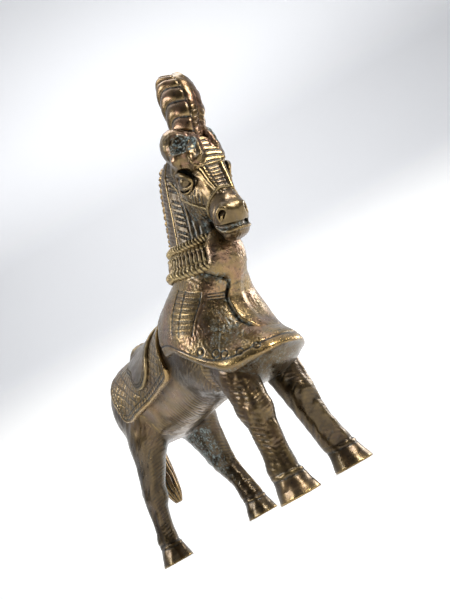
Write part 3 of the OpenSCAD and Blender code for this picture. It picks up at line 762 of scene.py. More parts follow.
def chase_ear(p, _n, m):
    q = head_frame(p)
    side = np.sign(q[:, 0].mean())
    centre, radii = ([8.8, -65, 116.6], [3, 4, 3.9]) if side > 0 else ([-6.5, -68, 114], [4.9, 4.2, 3.4])
    cup = np.linalg.norm((q - centre) / radii, axis=1)
    inside = step(1.25, 0.98, cup)
    fill(m, "green", 0.9 * inside)
    fill(m, "groove", inside * 0.8)
    m["pink"] = 1 - inside
    fill(m, "worn", 0.5 * step(117, 121, q[:, 2]) * (1 - inside))
    return waves(p, 1.7, 61) * 0.07


GRID_CORNERS = np.array([[-29.4, 79.4], [-38.6, 71.6], [-31.6, 60], [-22.4, 65]])


def grid_place(y, z):
    """Places points in the embroidered panel: across it from the rear, and down it."""
    a, b, c, d = GRID_CORNERS
    u = np.full(len(y), 0.5)
    v = np.full(len(y), 0.5)
    for _ in range(8):
        spot = ((1 - u) * (1 - v))[:, None] * a + (u * (1 - v))[:, None] * b \
            + (u * v)[:, None] * c + ((1 - u) * v)[:, None] * d
        du = (1 - v)[:, None] * (b - a) + v[:, None] * (c - d)
        dv = (1 - u)[:, None] * (d - a) + u[:, None] * (c - b)
        ey, ez = y - spot[:, 0], z - spot[:, 1]
        det = du[:, 0] * dv[:, 1] - du[:, 1] * dv[:, 0]
        u = np.clip(u + (ey * dv[:, 1] - ez * dv[:, 0]) / det, -1, 2)
        v = np.clip(v + (ez * du[:, 0] - ey * du[:, 1]) / det, -1, 2)
    return u, v


GRID_ROWS = 8
SEAM = smooth(np.array(PANEL[:10]), 6)
# Punched rings above the hem
RINGS = np.array([[12.6, -43.2, 45.7], [15.3, -38.8, 48], [16.4, -36.4, 50], [8.6, -46.9, 44.6],
                  [18, -31.6, 53.4]])


def chase_cloth(p, n, m):
    x, y, z = p.T
    outside = step(-0.2, 0.35, n[:, 0] * np.sign(x) + 0.9 * -n[:, 1] + 0.3 * n[:, 2])
    u, v = grid_place(y, z)
    inside = step(-0.02, 0.02, u) * step(1.0, 0.97, u) * step(-0.04, 0.0, v) * step(1.02, 1.0, v)
    rows = np.modf(np.clip(v, 0, 0.999) * GRID_ROWS)[0]
    lines = ridge(rows - 0.14, 0.07) + 0.8 * ridge(rows - 0.44, 0.07) * step(0.0, 0.1, u)
    posts = ridge(u - 0.02, 0.03) + 0.8 * ridge(u - 0.42, 0.03)
    border = ridge(u - 0.99, 0.025) + 0.4 * ridge(u - 1.12, 0.025)
    border *= step(-0.04, 0.02, v) * step(1.04, 0.98, v)
    tails = step(1.1, 1.2, u) * step(1.85, 1.7, u) * step(0.22, 0.18, v) * step(-0.03, 0.0, v)
    tail_lines = stripes(np.abs(v) * 14, 0.2) * tails * step(-33, -35, y)
    above = z - hem_height(y)
    hem_line = ridge(above - 4.6, 0.4)
    ring = np.zeros(len(p))
    for c in RINGS:
        far = np.linalg.norm(np.stack([np.abs(x), y, z], -1) - c, axis=1)
        ring = np.maximum(ring, ridge(far - 1.35, 0.32))
    seam = line_gap(x, z, SEAM)
    near_seam = ridge(seam, 0.55) * step(-33, -35, y)
    cut = np.maximum.reduce([(lines + posts) * inside, border, tail_lines, hem_line, ring])
    cut = np.clip(cut, 0, 1) * outside * step(38.5, 41, z)
    field = step(3.6, 5.4, above) * (1 - inside) * outside
    pits = np.clip(waves(p, 1.35, 71, 9), -1, 1.4) * 0.5 + np.clip(waves(p, 0.9, 72, 9), -1, 1.2) * 0.4
    fill(m, "groove", np.maximum(cut, np.clip(pits - 0.35, 0, 1) * field * 0.8))
    under = np.maximum(step(-0.15, -0.55, n[:, 2]) * step(4, 2.0, above), step(41, 39.8, z))
    top_side = step(-0.3, 0.2, n[:, 2])
    fill(m, "worn", 0.75 * step(3.8, 2.2, above) * step(-1.0, 0.2, above) * top_side * (1 - under))
    patch = np.exp(-(((y + 39.5) / 4.5) ** 2 + ((z - 55.5) / 6) ** 2)) * outside
    green = np.maximum.reduce([0.6 * patch, 0.9 * ridge(seam, 1.1) * step(-33, -36, y), 0.28 * under])
    # Painted shade under the hem's lip and below its rim, and a darker patina patch on the side.
    fill(m, "old", np.maximum(0.75 * under, 0.4 * patch))
    fill(m, "green", green)
    m["pink"] = 0.55 * field
    return cut * 0.3 + near_seam * 0.5 + pits * field * 0.07 + waves(p, 7, 73) * 0.08


def chase_panel(p, _n, m):
    x, z = p[:, 0], p[:, 2]
    pits = np.clip(waves(p, 1.35, 81, 9), -1, 1.4) * 0.5 + np.clip(waves(p, 0.9, 82, 9), -1, 1.2) * 0.4
    edge = line_gap(x, z, SEAM)
    bare = step(0.6, 1.8, edge)
    fold = ridge(z - 69 - 0.1 * x, 0.35) * step(4.4, 2.6, np.abs(x + 0.6)) * 0.4
    fill(m, "groove", np.maximum(np.clip(pits - 0.35, 0, 1) * bare * 0.7, fold))
    fill(m, "green", 0.85 * step(0.7, 0.1, edge) * step(80, 74, z))
    fill(m, "worn", 0.1 * ridge(edge - 1.2, 0.8))
    m["pink"] = 0.6 * bare
    return pits * bare * 0.07 + fold * 0.3 + waves(p, 6, 83) * 0.06


def chase_saddle_cloth(p, n, m):
    y, z = p[:, 1], p[:, 2]
    edge = line_gap(y, z, smooth(np.array(SADDLE_CLOTH_OUTLINE), 6))
    out = step(0.3, 0.6, np.abs(n[:, 0]))
    lines = ridge(edge - 1.8, 0.3) + ridge(edge - 3.6, 0.3)
    between = step(1.9, 2.2, edge) * step(3.5, 3.2, edge)
    key = between * stripes(np.abs(y + z) / 2.2 + 9, 0.16)
    weave = stripes(np.abs(y * 0.7 + z * 0.7) / 3 + 9, 0.1)
    weave = np.maximum(weave, stripes(np.abs(y * 0.7 - z * 0.7 + 90) / 3, 0.1))
    cut = np.clip(np.maximum.reduce([lines, key, weave * step(4, 4.6, edge) * 0.7]), 0, 1) * out
    fill(m, "groove", cut)
    return cut * 0.3 + waves(p, 4, 91) * 0.05


def chase_saddle(p, _n, m):
    x, y, z = p.T
    edge = line_gap(y, z, smooth(np.array(FLAP_OUTLINE), 6))
    flap = step(80, 78, z)
    cut = ridge(edge - 1.5, 0.28) * flap
    stitch = ridge(edge - 2.6, 0.25) * step(0.3, 0.5, np.modf((y + z) / 1.4 + 40)[0]) * flap
    seat = ridge(np.abs(x) - 3.4, 0.3) * step(81, 83, z) * 0.7
    cut = np.clip(np.maximum.reduce([cut, stitch, seat]), 0, 1)
    fill(m, "groove", cut)
    fill(m, "worn", 0.5 * step(84, 87, z))
    return cut * 0.28 + waves(p, 3, 92) * 0.05


def chase_tail(p, _n, m):
    k, deep, wide = place_on(TAIL, p)
    a = np.arctan2(deep, wide)
    strands = np.abs(np.sin(a * 5 + k * 1.1 + 0.3 * waves(p, 9, 95)))
    cut = ridge(strands, 0.35)
    fill(m, "groove", cut)
    return cut * 0.45


def chase_strap(p, _n, m):
    m["old"] = np.full(len(p), 0.55)
    return waves(p, 1.6, 96) * 0.05


def chase_plain(p, _n, _m):
    return waves(p, 2, 97) * 0.04


# ---------------------------------------------------------------- pieces

PIECES = {}         # node: (object, its points, its normals, its quads)
SLOTS = {}          # node: material slot


def normals_of(points, quads):
    a, b, c, d = (points[quads[:, i]] for i in range(4))
    flat = np.cross(c - a, d - b)
    n = np.stack([sum(np.bincount(quads[:, i], flat[:, j], len(points)) for i in range(4))
                  for j in range(3)], -1)
    return n / (np.linalg.norm(n, axis=1)[:, None] + 1e-12)


def average(values, quads, rounds):
    """Each point's value, averaged with its neighbours'."""
    ends = np.concatenate([quads, np.roll(quads, -1, axis=1)])
    start, stop = ends[:len(quads)].ravel(), ends[len(quads):].ravel()
    a, b = np.concatenate([start, stop]), np.concatenate([stop, start])
    count = np.bincount(a, minlength=len(values))
    columns = values if values.ndim > 1 else values[:, None]
    for _ in range(rounds):
        columns = np.stack([np.bincount(a, columns[b, j], len(columns)) / count
                            for j in range(columns.shape[1])], -1)
    return columns if values.ndim > 1 else columns[:, 0]


MARKS = ("groove", "green", "worn", "pink", "old")
BEND_GAIN = 2.2         # how strongly edges and dips show in the metal


def build(name, mesh, slot, chase=chase_plain, curve_scale=0.35):
    """Cuts the chasing into a mesh and makes it a piece of the horse, in place of its CAD node."""
    points, quads = mesh
    n = normals_of(points, quads)
    marks = {k: np.zeros(len(points)) for k in MARKS}
    depth = chase(points, n, marks)
    points = points - n * depth[:, None]
    points[:, 2] = np.maximum(points[:, 2], 0)
    n = normals_of(points, quads)
    bend = ((average(points, quads, 4) - points) * n).sum(1)
    bend = average(bend, quads, 1) / curve_scale
    marks["edge"] = np.clip(-bend * BEND_GAIN, 0, 1)
    marks["dip"] = np.clip(bend * BEND_GAIN, 0, 1)
    me = bpy.data.meshes.new(name)
    me.vertices.add(len(points))
    me.vertices.foreach_set("co", (points * MM).ravel())
    corners, starts = quads.ravel(), np.arange(0, quads.size, 4)
    lone = quads[:, 2] == quads[:, 3]
    if lone.any():
        keep = np.ones(quads.shape, bool)
        keep[lone, 3] = False
        corners = quads[keep]
        starts = np.concatenate([[0], np.cumsum(keep.sum(1))[:-1]])
    me.loops.add(len(corners))
    me.loops.foreach_set("vertex_index", corners.astype(np.int32))
    me.polygons.add(len(quads))
    me.polygons.foreach_set("loop_start", starts.astype(np.int32))
    me.polygons.foreach_set("use_smooth", np.ones(len(quads), bool))
    me.update(calc_edges=True)
    me.validate()
    for key, value in marks.items():
        layer = me.attributes.new(key, "FLOAT", "POINT")
        layer.data.foreach_set("value", np.clip(value, 0, 1).astype(np.float32))
    piece = bpy.data.objects.new(name + "_cast", me)
    bpy.context.scene.collection.objects.link(piece)
    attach(piece, "root")
    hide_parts(name)
    SLOTS[name] = slot
    PIECES[name] = (piece, points, n, quads)


def owned(hide, base, added, reach):
    """What is left of a blended solid for its base, where others are joined on to it."""
    for d in added:
        hide = np.maximum(hide, np.minimum(base - JOIN, reach - JOIN - d))
    return hide


def joined(hide, base, own, reach):
    """The part of a blended solid that belongs to a piece joined on to base."""
    return np.maximum(hide, np.maximum(-base - JOIN, own - reach))


def make_body():
    g = Lattice((-24, -46, 34), (24, 72, 92), 0.4)
    body = body_solid(g)
    legs = [leg_solid(g, name) for name in LEGS]
    neck = neck_solid(g)
    hide = body
    for d in legs:
        hide = soft_min(hide, d, LEG_BLEND)
    hide = soft_min(hide, neck, NECK_BLEND)
    hide = owned(owned(hide, body, legs, LEG_REACH), body, [neck], NECK_REACH)
    for name, side in (("body_half_right", 1), ("body_half_left", -1)):
        build(name, g.mesh(np.maximum(hide, side * g.x - JOIN)), "bronze_hide", chase_body)


def make_legs():
    for name, table in LEGS.items():
        t = np.array(table)
        low = (t[:, 0].min() - 11, t[:, 1].min() - 16, -1)
        high = (t[:, 0].max() + 11, t[:, 1].max() + 16, 68)
        g = Lattice(low, high, 0.34)
        body, leg = body_solid(g), leg_solid(g, name)
        hide = soft_min(body, leg, LEG_BLEND)
        build(name, g.mesh(joined(hide, body, leg, LEG_REACH)), "bronze_hide", chase_leg(name))


def make_neck_and_head():
    g = Lattice((-16, -66, 62), (16, -14, 128), 0.34)
    body, neck, head = body_solid(g), neck_solid(g), head_solid(g)
    hide = soft_min(soft_min(neck, body, NECK_BLEND), head, HEAD_BLEND)
    own = joined(joined(hide, body, neck, NECK_REACH), head, neck, HEAD_REACH)
    build("neck", g.mesh(own), "bronze_hide", chase_neck)

    g = Lattice((-13.5, -74, 75), (13.5, -42, 127), 0.24)
    neck, head = neck_solid(g), head_solid(g)
    ears = {side: ear_solid(g, side) for side in (-1, 1)}
    hide = soft_min(neck, head, HEAD_BLEND)
    for ear in ears.values():
        hide = soft_min(hide, ear, EAR_BLEND)
    skull = owned(owned(hide, head, [neck], HEAD_REACH), head, ears.values(), EAR_REACH)
    build("head", g.mesh(skull), "bronze_hide", chase_head)
    for side, name in ((-1, "ear_right"), (1, "ear_left")):
        hide = soft_min(head, ears[side], EAR_BLEND)
        build(name, g.mesh(joined(hide, head, ears[side], EAR_REACH)), "bronze_hide", chase_ear)
    make_bridle(g, np.minimum(skull, neck))


def make_bridle(g, skull):
    spots = [rim(along(HEAD, k), a, 0.3) for k, a in
             ((4.9, 188), (4.3, 196), (3.6, 206), (2.8, 214), (1.9, 216), (1, 222), (0.4, 232))]
    strap = np.array(spots + [[0, -48.6, 125.2]])
    path = np.vstack([strap, strap[-2::-1] * [-1, 1, 1]])
    path = turned(along(path, np.linspace(0, len(path) - 1, 360)))
    path = g.settle(skull, path, 0.0)
    path = average_path(path, 6, False)
    outer = path - turned(np.array([[0, -55, 104.0]]))
    straps = cord(path, 0.6, strands=2, twists=60, depth=0.12, sides=14, out=outer)
    a = np.linspace(0, 360, 260, endpoint=False)
    band = turned(rim(along(HEAD, 4.9), a, 0.1))
    band = average_path(g.settle(skull, band, 0.05), 4, True)
    noseband = cord(band, 0.55, strands=2, twists=34, depth=0.15, sides=14, loop=True,
                    out=band - band.mean(0))
    points = np.vstack([straps[0], noseband[0]])
    quads = np.vstack([straps[1], noseband[1] + len(straps[0])])
    build("bridle", (points, quads), "bronze_tack", chase_strap)


def average_path(path, rounds, loop):
    for _ in range(rounds):
        middle = (np.roll(path, 1, 0) + path + np.roll(path, -1, 0)) / 3
        if not loop:
            middle[0], middle[-1] = path[0], path[-1]
        path = middle
    return path


CREST_Z = 117
CREST_H = 31
CREST_RIBS = 8.2        # rolls of hair up its full height, if they went all the way
CREST_BOW = 5.5


def make_crest():
    """The gathered forelock: stacked rolls of hair on its sides, and a smooth band down its front."""
    count, sides = ((300, 160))
    k = np.linspace(0, 1, count)[:, None]
    a = np.linspace(0, 2 * np.pi, sides, endpoint=False)[None, :]
    s = along(CREST, k * (len(CREST) - 1))
    front = np.clip(-np.sin(a), 0, 1)
    side = np.abs(np.cos(a)) ** 0.6
    column = step(0.84, 0.9, front)
    held = step(0, 0.1, k) * step(0.98, 0.7, k)
    lift = held * (CREST_BOW * side * (0.4 - np.sin(a) ** 2) + 0.6 * np.sin(a))
    turns = k * CREST_RIBS
    roll = np.abs(np.sin(np.pi * turns)) ** 0.5
    rolled = step(0.86, 0.76, k) * (1 - column)
    rib = (roll - 0.8) * 1.3 * rolled
    groove = ridge(np.abs(np.sin(np.pi * turns)), 0.22) * rolled
    crease = ridge(front - 0.87, 0.03) * step(0.9, 0.72, k)
    ledge = 0.3 * column * step(0.9, 0.7, k) - 0.5 * crease
    bars = ridge(np.abs(np.sin(np.pi * k * 22)), 0.35) * column * step(0.36, 0.26, k)
    out = rib + ledge - 0.18 * bars
    height = CREST_Z + CREST_H * s[..., 0] + lift
    rings = np.stack([s[..., 1] + (s[..., 3] + out) * np.cos(a),
                      s[..., 2] + (s[..., 4] + out * 0.7) * np.sin(a),
                      np.broadcast_to(height, (count, sides))], -1)

    def chase(p, n, m):
        marks = np.maximum(groove, 0.6 * bars).ravel()
        m["groove"][:len(marks)] = marks
        fill(m, "worn", 0.3 * step(138, 144, p[:, 2]))
        above = ridge(np.modf(turns)[0] - 0.14, 0.08) * rolled
        m["worn"][:len(marks)] = np.maximum(m["worn"][:len(marks)], 0.5 * above.ravel())
        m["pink"][:] = 0.6
        return waves(p, 3, 103) * 0.05

    build("forelock_crest", tube(rings), "bronze_hair", chase)


def make_mane():
    """A braid of three strands down the back of the neck."""
    k = np.array([6.7, 6, 5.2, 4.4, 3.6, 3.05])
    spots = rim(along(NECK, k), 90.0, 0.3)
    path = along(spots, np.linspace(0, len(spots) - 1, 300))
    share = np.linspace(0, 1, len(path))
    radius = 2.6 * np.minimum(1, 0.35 + 2.6 * np.sin(np.pi * share))

    def chase(p, n, m):
        return waves(p, 1.4, 111) * 0.08

    mesh = cord(path, radius, strands=3, twists=5, depth=0.12, sides=48, out=[1.0, 0, 0], broad=1.4)
    build("mane_braid", mesh, "bronze_hair", chase, 0.25)


def rope_ring(name, station, radius, twists):
    """A slightly uneven rope of two strands around the neck."""
    a = np.linspace(0, 360, 720, endpoint=False)
    path = rim(station, a)
    path[:, 2] += 0.25 * np.sin(np.radians(a * 5)) + 0.15 * np.sin(np.radians(a * 11 + 40))
    mesh = cord(path, radius, strands=2, twists=twists, depth=0.24, sides=26, loop=True,
                out=path - path.mean(0))

    def chase(p, n, m):
        fill(m, "green", 0.4 * step(-46, -49, p[:, 1]))
        return waves(p, 1.3, 121) * 0.07

    build(name, mesh, "bronze_tack", chase, 0.25)


def make_fringe():
    """A band between the ropes, with upright tassels side by side."""
    low, high = np.array(LOW_ROPE, float), np.array(HIGH_ROPE, float)
    bottom, top = low + (high - low) * 0.18, low + (high - low) * 0.86
    tassels, fine, rows = 52, 16, 22
    a = np.linspace(0, 360, tassels * fine, endpoint=False)[:, None]
    v = np.linspace(0, 1, rows)[None, :]
    station = bottom + (top - bottom) * v[..., None]
    wave = np.abs(np.sin(np.pi * tassels * a / 360 + 0.25 * np.sin(9 * v))) ** 0.6
    swell = np.sin(np.pi * np.clip(v, 0.02, 0.98)) ** 0.3
    knot = ridge(v - 0.78, 0.07)
    out = 0.15 + 0.95 * wave * swell + 0.4 * knot
    outer = rim(station, a, out)
    inner = rim(station[:, ::-1], a, -2.2 + 0 * v)
    rings = np.concatenate([outer, inner], axis=1)

    def chase(p, n, m):
        flat = np.concatenate([1 - wave * np.ones_like(v), np.zeros((len(a), rows))], 1).ravel()
        m["groove"] = np.clip(flat ** 2, 0, 1)
        return waves(p, 1.5, 131) * 0.05

    build("collar_fringe", tube(rings, True), "bronze_tack", chase, 0.3)


def cloth_solid(g):
    """The chest cloth before its hem is cut: a bell that runs back over the body."""
    return soft_min(g.solid(loft(CLOTH, 96)), g.solid(loft(grown(BODY, 2.4))), 3)


def make_cloths():
    g = Lattice((-23, -55, 33), (23, -5, 92), 0.3)
    outer = cloth_solid(g)
    hem = [list(v) for v in smooth(np.array(HEM), 6)] + [[-7.5, 94], [-26, 100], [-60, 100]]
    cut = g.solid(prism(hem))
    outer = soft_max(outer, cut, 3.4)
    body, neck = body_solid(g), neck_solid(g)
    legs = np.minimum(g.solid(loft(LEGS["leg_front_right"])), g.solid(loft(LEGS["leg_front_left"])))
    hollow = g.solid(loft(LIP_HOLLOW))
    under = g.ball((0, -36, 44), (15.4, 13.4, 7.9))
    panel_cut = np.maximum(g.solid(prism(smooth(np.array(PANEL), 6), 80, True)), g.y + 33.5)
    wearer = np.minimum(np.minimum(body + 1.2, neck + 1.2), legs + 1.2)
    collar = g.solid(loft([LOW_ROPE, np.add(LOW_ROPE, [0, -3.6, 8.4, -2, -1.8, -2.4])]))
    solid = np.maximum(soft_min(soft_max(outer, -hollow, 1.0), under, 2.5), -wearer)
    solid = np.maximum(np.maximum(solid, -(collar + 1.0)), g.z - CLOTH_TOP)
    # The panel's right edge stands free over a groove; the rest of it runs out into the cloth
    free = step(50.5, 55, g.z) * step(3.5, 0, g.x)
    cloth_part = np.maximum(solid, -(panel_cut + 0.25))
    for name, side in (("chest_cloth_right", 1), ("chest_cloth_left", -1)):
        build(name, g.mesh(np.maximum(cloth_part, side * g.x - JOIN)), "bronze_cloth", chase_cloth)
    bib = g.ball((0, -47.4, 80.6), (7.6, 4.8, 9.4), (18, 0, 0))
    raised = soft_min(outer - 0.8 * free * step(14, 6, g.x) - 0.1, bib, 3)
    raised = soft_max(raised, panel_cut + 0.3 * free - JOIN * (1 - free), 0.3 + 0.5 * free)
    raised = np.maximum(raised, -np.minimum(body, neck) - 0.8)
    raised = np.maximum(np.maximum(raised, g.z - 90), 46 - g.z)
    build("breast_panel", g.mesh(raised), "bronze_cloth", chase_panel)


def make_saddle():
    g = Lattice((-23, -11, 52), (23, 48, 92), 0.36)
    body = body_solid(g)
    chest_cloth = cloth_solid(g)
    skin = g.solid(loft(BODY))
    outline = g.solid(prism(smooth(np.array(SADDLE_CLOTH_OUTLINE), 4)))
    blanket = soft_max(np.minimum(skin, body) - 1.5, outline, 1.2)
    # Its front edge goes 0.5 mm into the chest cloth and no further
    under_cloth = -(chest_cloth + 0.5) * (g.y < -6) - 9 * (g.y >= -6)
    blanket = np.maximum(np.maximum(blanket, -body - 1.0), under_cloth)
    build("saddle_cloth", g.mesh(blanket), "bronze_cloth", chase_saddle_cloth)
    outline = g.solid(prism(smooth(np.array(FLAP_OUTLINE), 4)))
    flaps = soft_max(np.minimum(skin, body) - 2.9, outline, 1.2)
    seat = g.solid(loft(SEAT))
    seat = soft_min(seat, g.ball((0, 31.6, 84), (8.4, 2.6, 4.6)), 1.5)
    seat = soft_min(seat, g.ball((0, 6.6, 85), (3, 2.6, 3.6)), 1.5)
    saddle = soft_min(flaps, seat, 2.2)
    build("saddle", g.mesh(np.maximum(saddle, -body - 0.6)), "bronze_tack", chase_saddle)


def make_tail():
    """A hanging tail, thicker where it leaves the rump."""
    g = Lattice((-8, 52, 18), (8, 74, 86), 0.34)
    body = body_solid(g)
    tail = g.solid(loft(TAIL))
    tail = soft_min(tail, g.ball((0, 62.6, 76.6), (4, 4, 4)), 2)
    build("tail", g.mesh(np.maximum(tail, -body - 0.6)), "bronze_hair", chase_tail)


def make_dowels():
    """Ground pins with a chamfer at each end and fine turning marks."""
    lean = math.radians(24)
    pins = (("neck_dowel", (0, -33, 76), (0, -math.sin(lean), math.cos(lean)), 22, 2.0, False),
            ("head_dowel", (0, -53, 112), (0, 1, 0), 16, 2.0, True),
            ("tail_dowel", (0, 58, 71), (0, 1, 0), 10, 1.5, False))
    for name, start, run, length, radius, on_head in pins:
        t = np.linspace(0, 1, 90)
        path = np.array(start) + np.outer(t * length, run)
        if on_head:
            path = turned(path)
        ends = np.minimum(1, 0.82 + 0.18 * np.minimum(t, 1 - t) * length / 0.5)
        turning = 1 - 0.006 * (1 + np.sin(t * length * 9))
        build(name, cord(path, radius * ends * turning, sides=48, out=[1.0, 0, 0]), "bronze_pin")


# ---------------------------------------------------------------- where the patina and painted shade gather


# The share of metal around a point: in the open, and how much more of it makes a deep hollow
OPEN, ENCLOSED = 0.40, 0.30
LOOK_OUT = 1.5                  # mm from the surface at which it is measured


def add_hollows():
    """Marks how enclosed each point is, from how much metal stands around it."""
    cell = 1.0
    g = Lattice((-30, -80, -6), (30, 80, 154), cell / COARSE)
    full = None
    for _, points, _, quads in PIECES.values():
        d = g.solid((points, quads))
        full = d if full is None else np.minimum(full, d)
    amount = np.clip(0.5 - full, 0, 1).astype(np.float32)
    for reach in (2, 3):
        for axis in range(3):
            total = np.zeros_like(amount)
            for shift in range(-reach, reach + 1):
                total += np.roll(amount, shift, axis)
            amount = total / (2 * reach + 1)
    for piece, points, n, _ in PIECES.values():
        deep = g.value(amount, points + n * LOOK_OUT)
        value = np.clip((deep - OPEN) / ENCLOSED, 0, 1).astype(np.float32)
        layer = piece.data.attributes.new("hollow", "FLOAT", "POINT")
        layer.data.foreach_set("value", value)


# ---------------------------------------------------------------- materials


class Nodes:
    """Short names for building a material's nodes."""

    def __init__(self, name):
        self.material = bpy.data.materials.new(name)
        self.material.use_nodes = True
        self.tree = self.material.node_tree
        self.tree.nodes.clear()

    def add(self, kind, **settings):
        node = self.tree.nodes.new(kind)
        for key, value in settings.items():
            setattr(node, key, value)
        return node

    def link(self, a, b):
        self.tree.links.new(a, b)

    def put(self, socket, value):
        if isinstance(value, bpy.types.NodeSocket):
            self.link(value, socket)
        else:
            socket.default_value = value

    def mark(self, name):
        return self.add("ShaderNodeAttribute", attribute_name=name).outputs["Fac"]

    def math(self, operation, a, b=0.0, c=None, clamp=False):
        node = self.add("ShaderNodeMath", operation=operation, use_clamp=clamp)
        for socket, value in zip(node.inputs, (a, b, c)):
            if value is not None:
                self.put(socket, value)
        return node.outputs[0]

    def times(self, a, b, clamp=False):
        return self.math("MULTIPLY", a, b, clamp=clamp)

    def plus(self, a, b, clamp=False):
        return self.math("ADD", a, b, clamp=clamp)

    def ramp(self, value, low, high, to_low=0.0, to_high=1.0):
        node = self.add("ShaderNodeMapRange", clamp=True, interpolation_type="SMOOTHSTEP")
        for key, v in zip(("Value", "From Min", "From Max", "To Min", "To Max"),
                          (value, low, high, to_low, to_high)):
            self.put(node.inputs[key], v)
        return node.outputs[0]

    def noise(self, scale, detail=3.0, rough=0.55, seed=0.0):
        place = self.add("ShaderNodeTexCoord").outputs["Object"]
        shift = self.add("ShaderNodeVectorMath", operation="ADD")
        self.link(place, shift.inputs[0])
        shift.inputs[1].default_value = (seed, seed * 0.7, -seed)
        node = self.add("ShaderNodeTexNoise")
        self.link(shift.outputs[0], node.inputs["Vector"])
        node.inputs["Scale"].default_value = scale
        node.inputs["Detail"].default_value = detail
        node.inputs["Roughness"].default_value = rough
        return node.outputs["Fac"]

    def cells(self, scale):
        place = self.add("ShaderNodeTexCoord").outputs["Object"]
        node = self.add("ShaderNodeTexVoronoi")
        self.link(place, node.inputs["Vector"])
        node.inputs["Scale"].default_value = scale
        return node.outputs["Distance"]

    def mix(self, share, a, b):
        node = self.add("ShaderNodeMix", data_type="RGBA")
        self.put(node.inputs[0], share)
        for socket, value in ((node.inputs[6], a), (node.inputs[7], b)):
            self.put(socket, value if isinstance(value, bpy.types.NodeSocket) else (*value, 1.0))
        return node.outputs[2]


COPPER_PINK = (0.25, 0.125, 0.09)
VIOLET_TARNISH = (0.10, 0.08, 0.095)
AGED_METAL_AND_SHADE = (0.032, 0.023, 0.015)
DARK_PATINA_AND_SHADE = (0.010, 0.008, 0.006)
DARK_GREEN, PALE_GREEN = (0.045, 0.065, 0.062), (0.27, 0.34, 0.33)


def bronze(name, metal, brown, gold, gloss, pits=0.0, green=1.0, dark=1.0):
    """Old cast bronze: brown lacquer in patches, dark patina and painted shade in the grooves, dips and
    hollows, bare gold on the ridges, verdigris in the hollows.
    """
    t = Nodes(name)
    groove, edge, dip, hollow = (t.mark(k) for k in ("groove", "edge", "dip", "hollow"))
    worn, verdigris, pink, old = (t.mark(k) for k in ("worn", "green", "pink", "old"))
    broad = t.noise(55, 4, 0.6, 0.11)
    mottle = t.noise(420, 4, 0.6, 0.23)
    grain = t.noise(1900, 3, 0.6, 0.37)
    speck = t.noise(1150, 2, 0.7, 0.53)
    colour = t.mix(t.ramp(broad, 0.3, 0.7), brown, metal)
    colour = t.mix(t.ramp(mottle, 0.46, 0.72, 0.0, 0.12), colour, gold)
    blotch = t.ramp(t.noise(110, 3, 0.6, 0.71), 0.45, 0.62)
    rosy = t.times(blotch, t.math("MULTIPLY_ADD", pink, 0.5, 0.15))
    colour = t.mix(rosy, colour, COPPER_PINK)
    violet = t.ramp(t.noise(85, 3, 0.6, 0.91), 0.56, 0.7, 0.0, 0.28)
    colour = t.mix(violet, colour, VIOLET_TARNISH)
    # Darker metal from the chase functions' darkening mark: partly the metal's own older tone, partly
    # painted shade on the lower legs and under the cloth's lip.
    colour = t.mix(t.times(old, 0.85), colour, AGED_METAL_AND_SHADE)
    shine = t.plus(t.times(worn, 0.7), t.times(edge, 0.62), clamp=True)
    shine = t.times(shine, t.ramp(mottle, 0.25, 0.55, 0.6, 1.0))
    shine = t.times(shine, t.ramp(old, 0.0, 1.0, 1.0, 0.55))
    colour = t.mix(shine, colour, gold)
    # Grooves, dips and enclosed hollows go nearly black: partly dark patina, partly painted shade.
    shade = t.plus(t.times(groove, 0.8), t.times(dip, 0.9), clamp=True)
    shade = t.math("MAXIMUM", shade, t.times(hollow, 0.9 * dark))
    shade = t.times(shade, t.ramp(grain, 0.3, 0.6, 0.8, 1.0), clamp=True)
    colour = t.mix(shade, colour, DARK_PATINA_AND_SHADE)
    crust = t.plus(verdigris, t.times(shade, 0.3 * green), clamp=True)
    crust = t.times(crust, t.ramp(t.noise(520, 5, 0.7, 1.3), 0.42, 0.6))
    crust = t.times(crust, t.ramp(speck, 0.3, 0.6, 0.3, 1.0), clamp=True)
    pale = t.mix(t.ramp(speck, 0.4, 0.64), DARK_GREEN, PALE_GREEN)
    colour = t.mix(crust, colour, pale)
    shader = t.add("ShaderNodeBsdfPrincipled")
    t.put(shader.inputs["Base Color"], colour)
    t.put(shader.inputs["Metallic"], t.ramp(crust, 0.0, 1.0, 1.0, 0.1))
    rough = t.plus(t.ramp(mottle, 0.3, 0.7, gloss - 0.04, gloss + 0.06), t.times(shade, 0.2))
    rough = t.plus(rough, t.times(crust, 0.35))
    rough = t.math("SUBTRACT", rough, t.times(worn, 0.08), clamp=True)
    t.put(shader.inputs["Roughness"], rough)
    shader.inputs["Coat Weight"].default_value = 0.35
    shader.inputs["Coat Roughness"].default_value = 0.22
    relief = t.plus(t.times(grain, 0.3), t.times(mottle, 0.3))
    relief = t.plus(relief, t.times(crust, 0.4))
    if pits:
        hole = t.times(t.ramp(t.cells(1250), 0.0, 0.42, 0.0, 1.0), pits)
        relief = t.plus(relief, hole)
    bump = t.add("ShaderNodeBump")
    bump.inputs["Strength"].default_value = 0.5
    bump.inputs["Distance"].default_value = 0.0003
    t.put(bump.inputs["Height"], relief)
    t.link(bump.outputs[0], shader.inputs["Normal"])
    out = t.add("ShaderNodeOutputMaterial")
    t.link(shader.outputs[0], out.inputs[0])
    return t.material


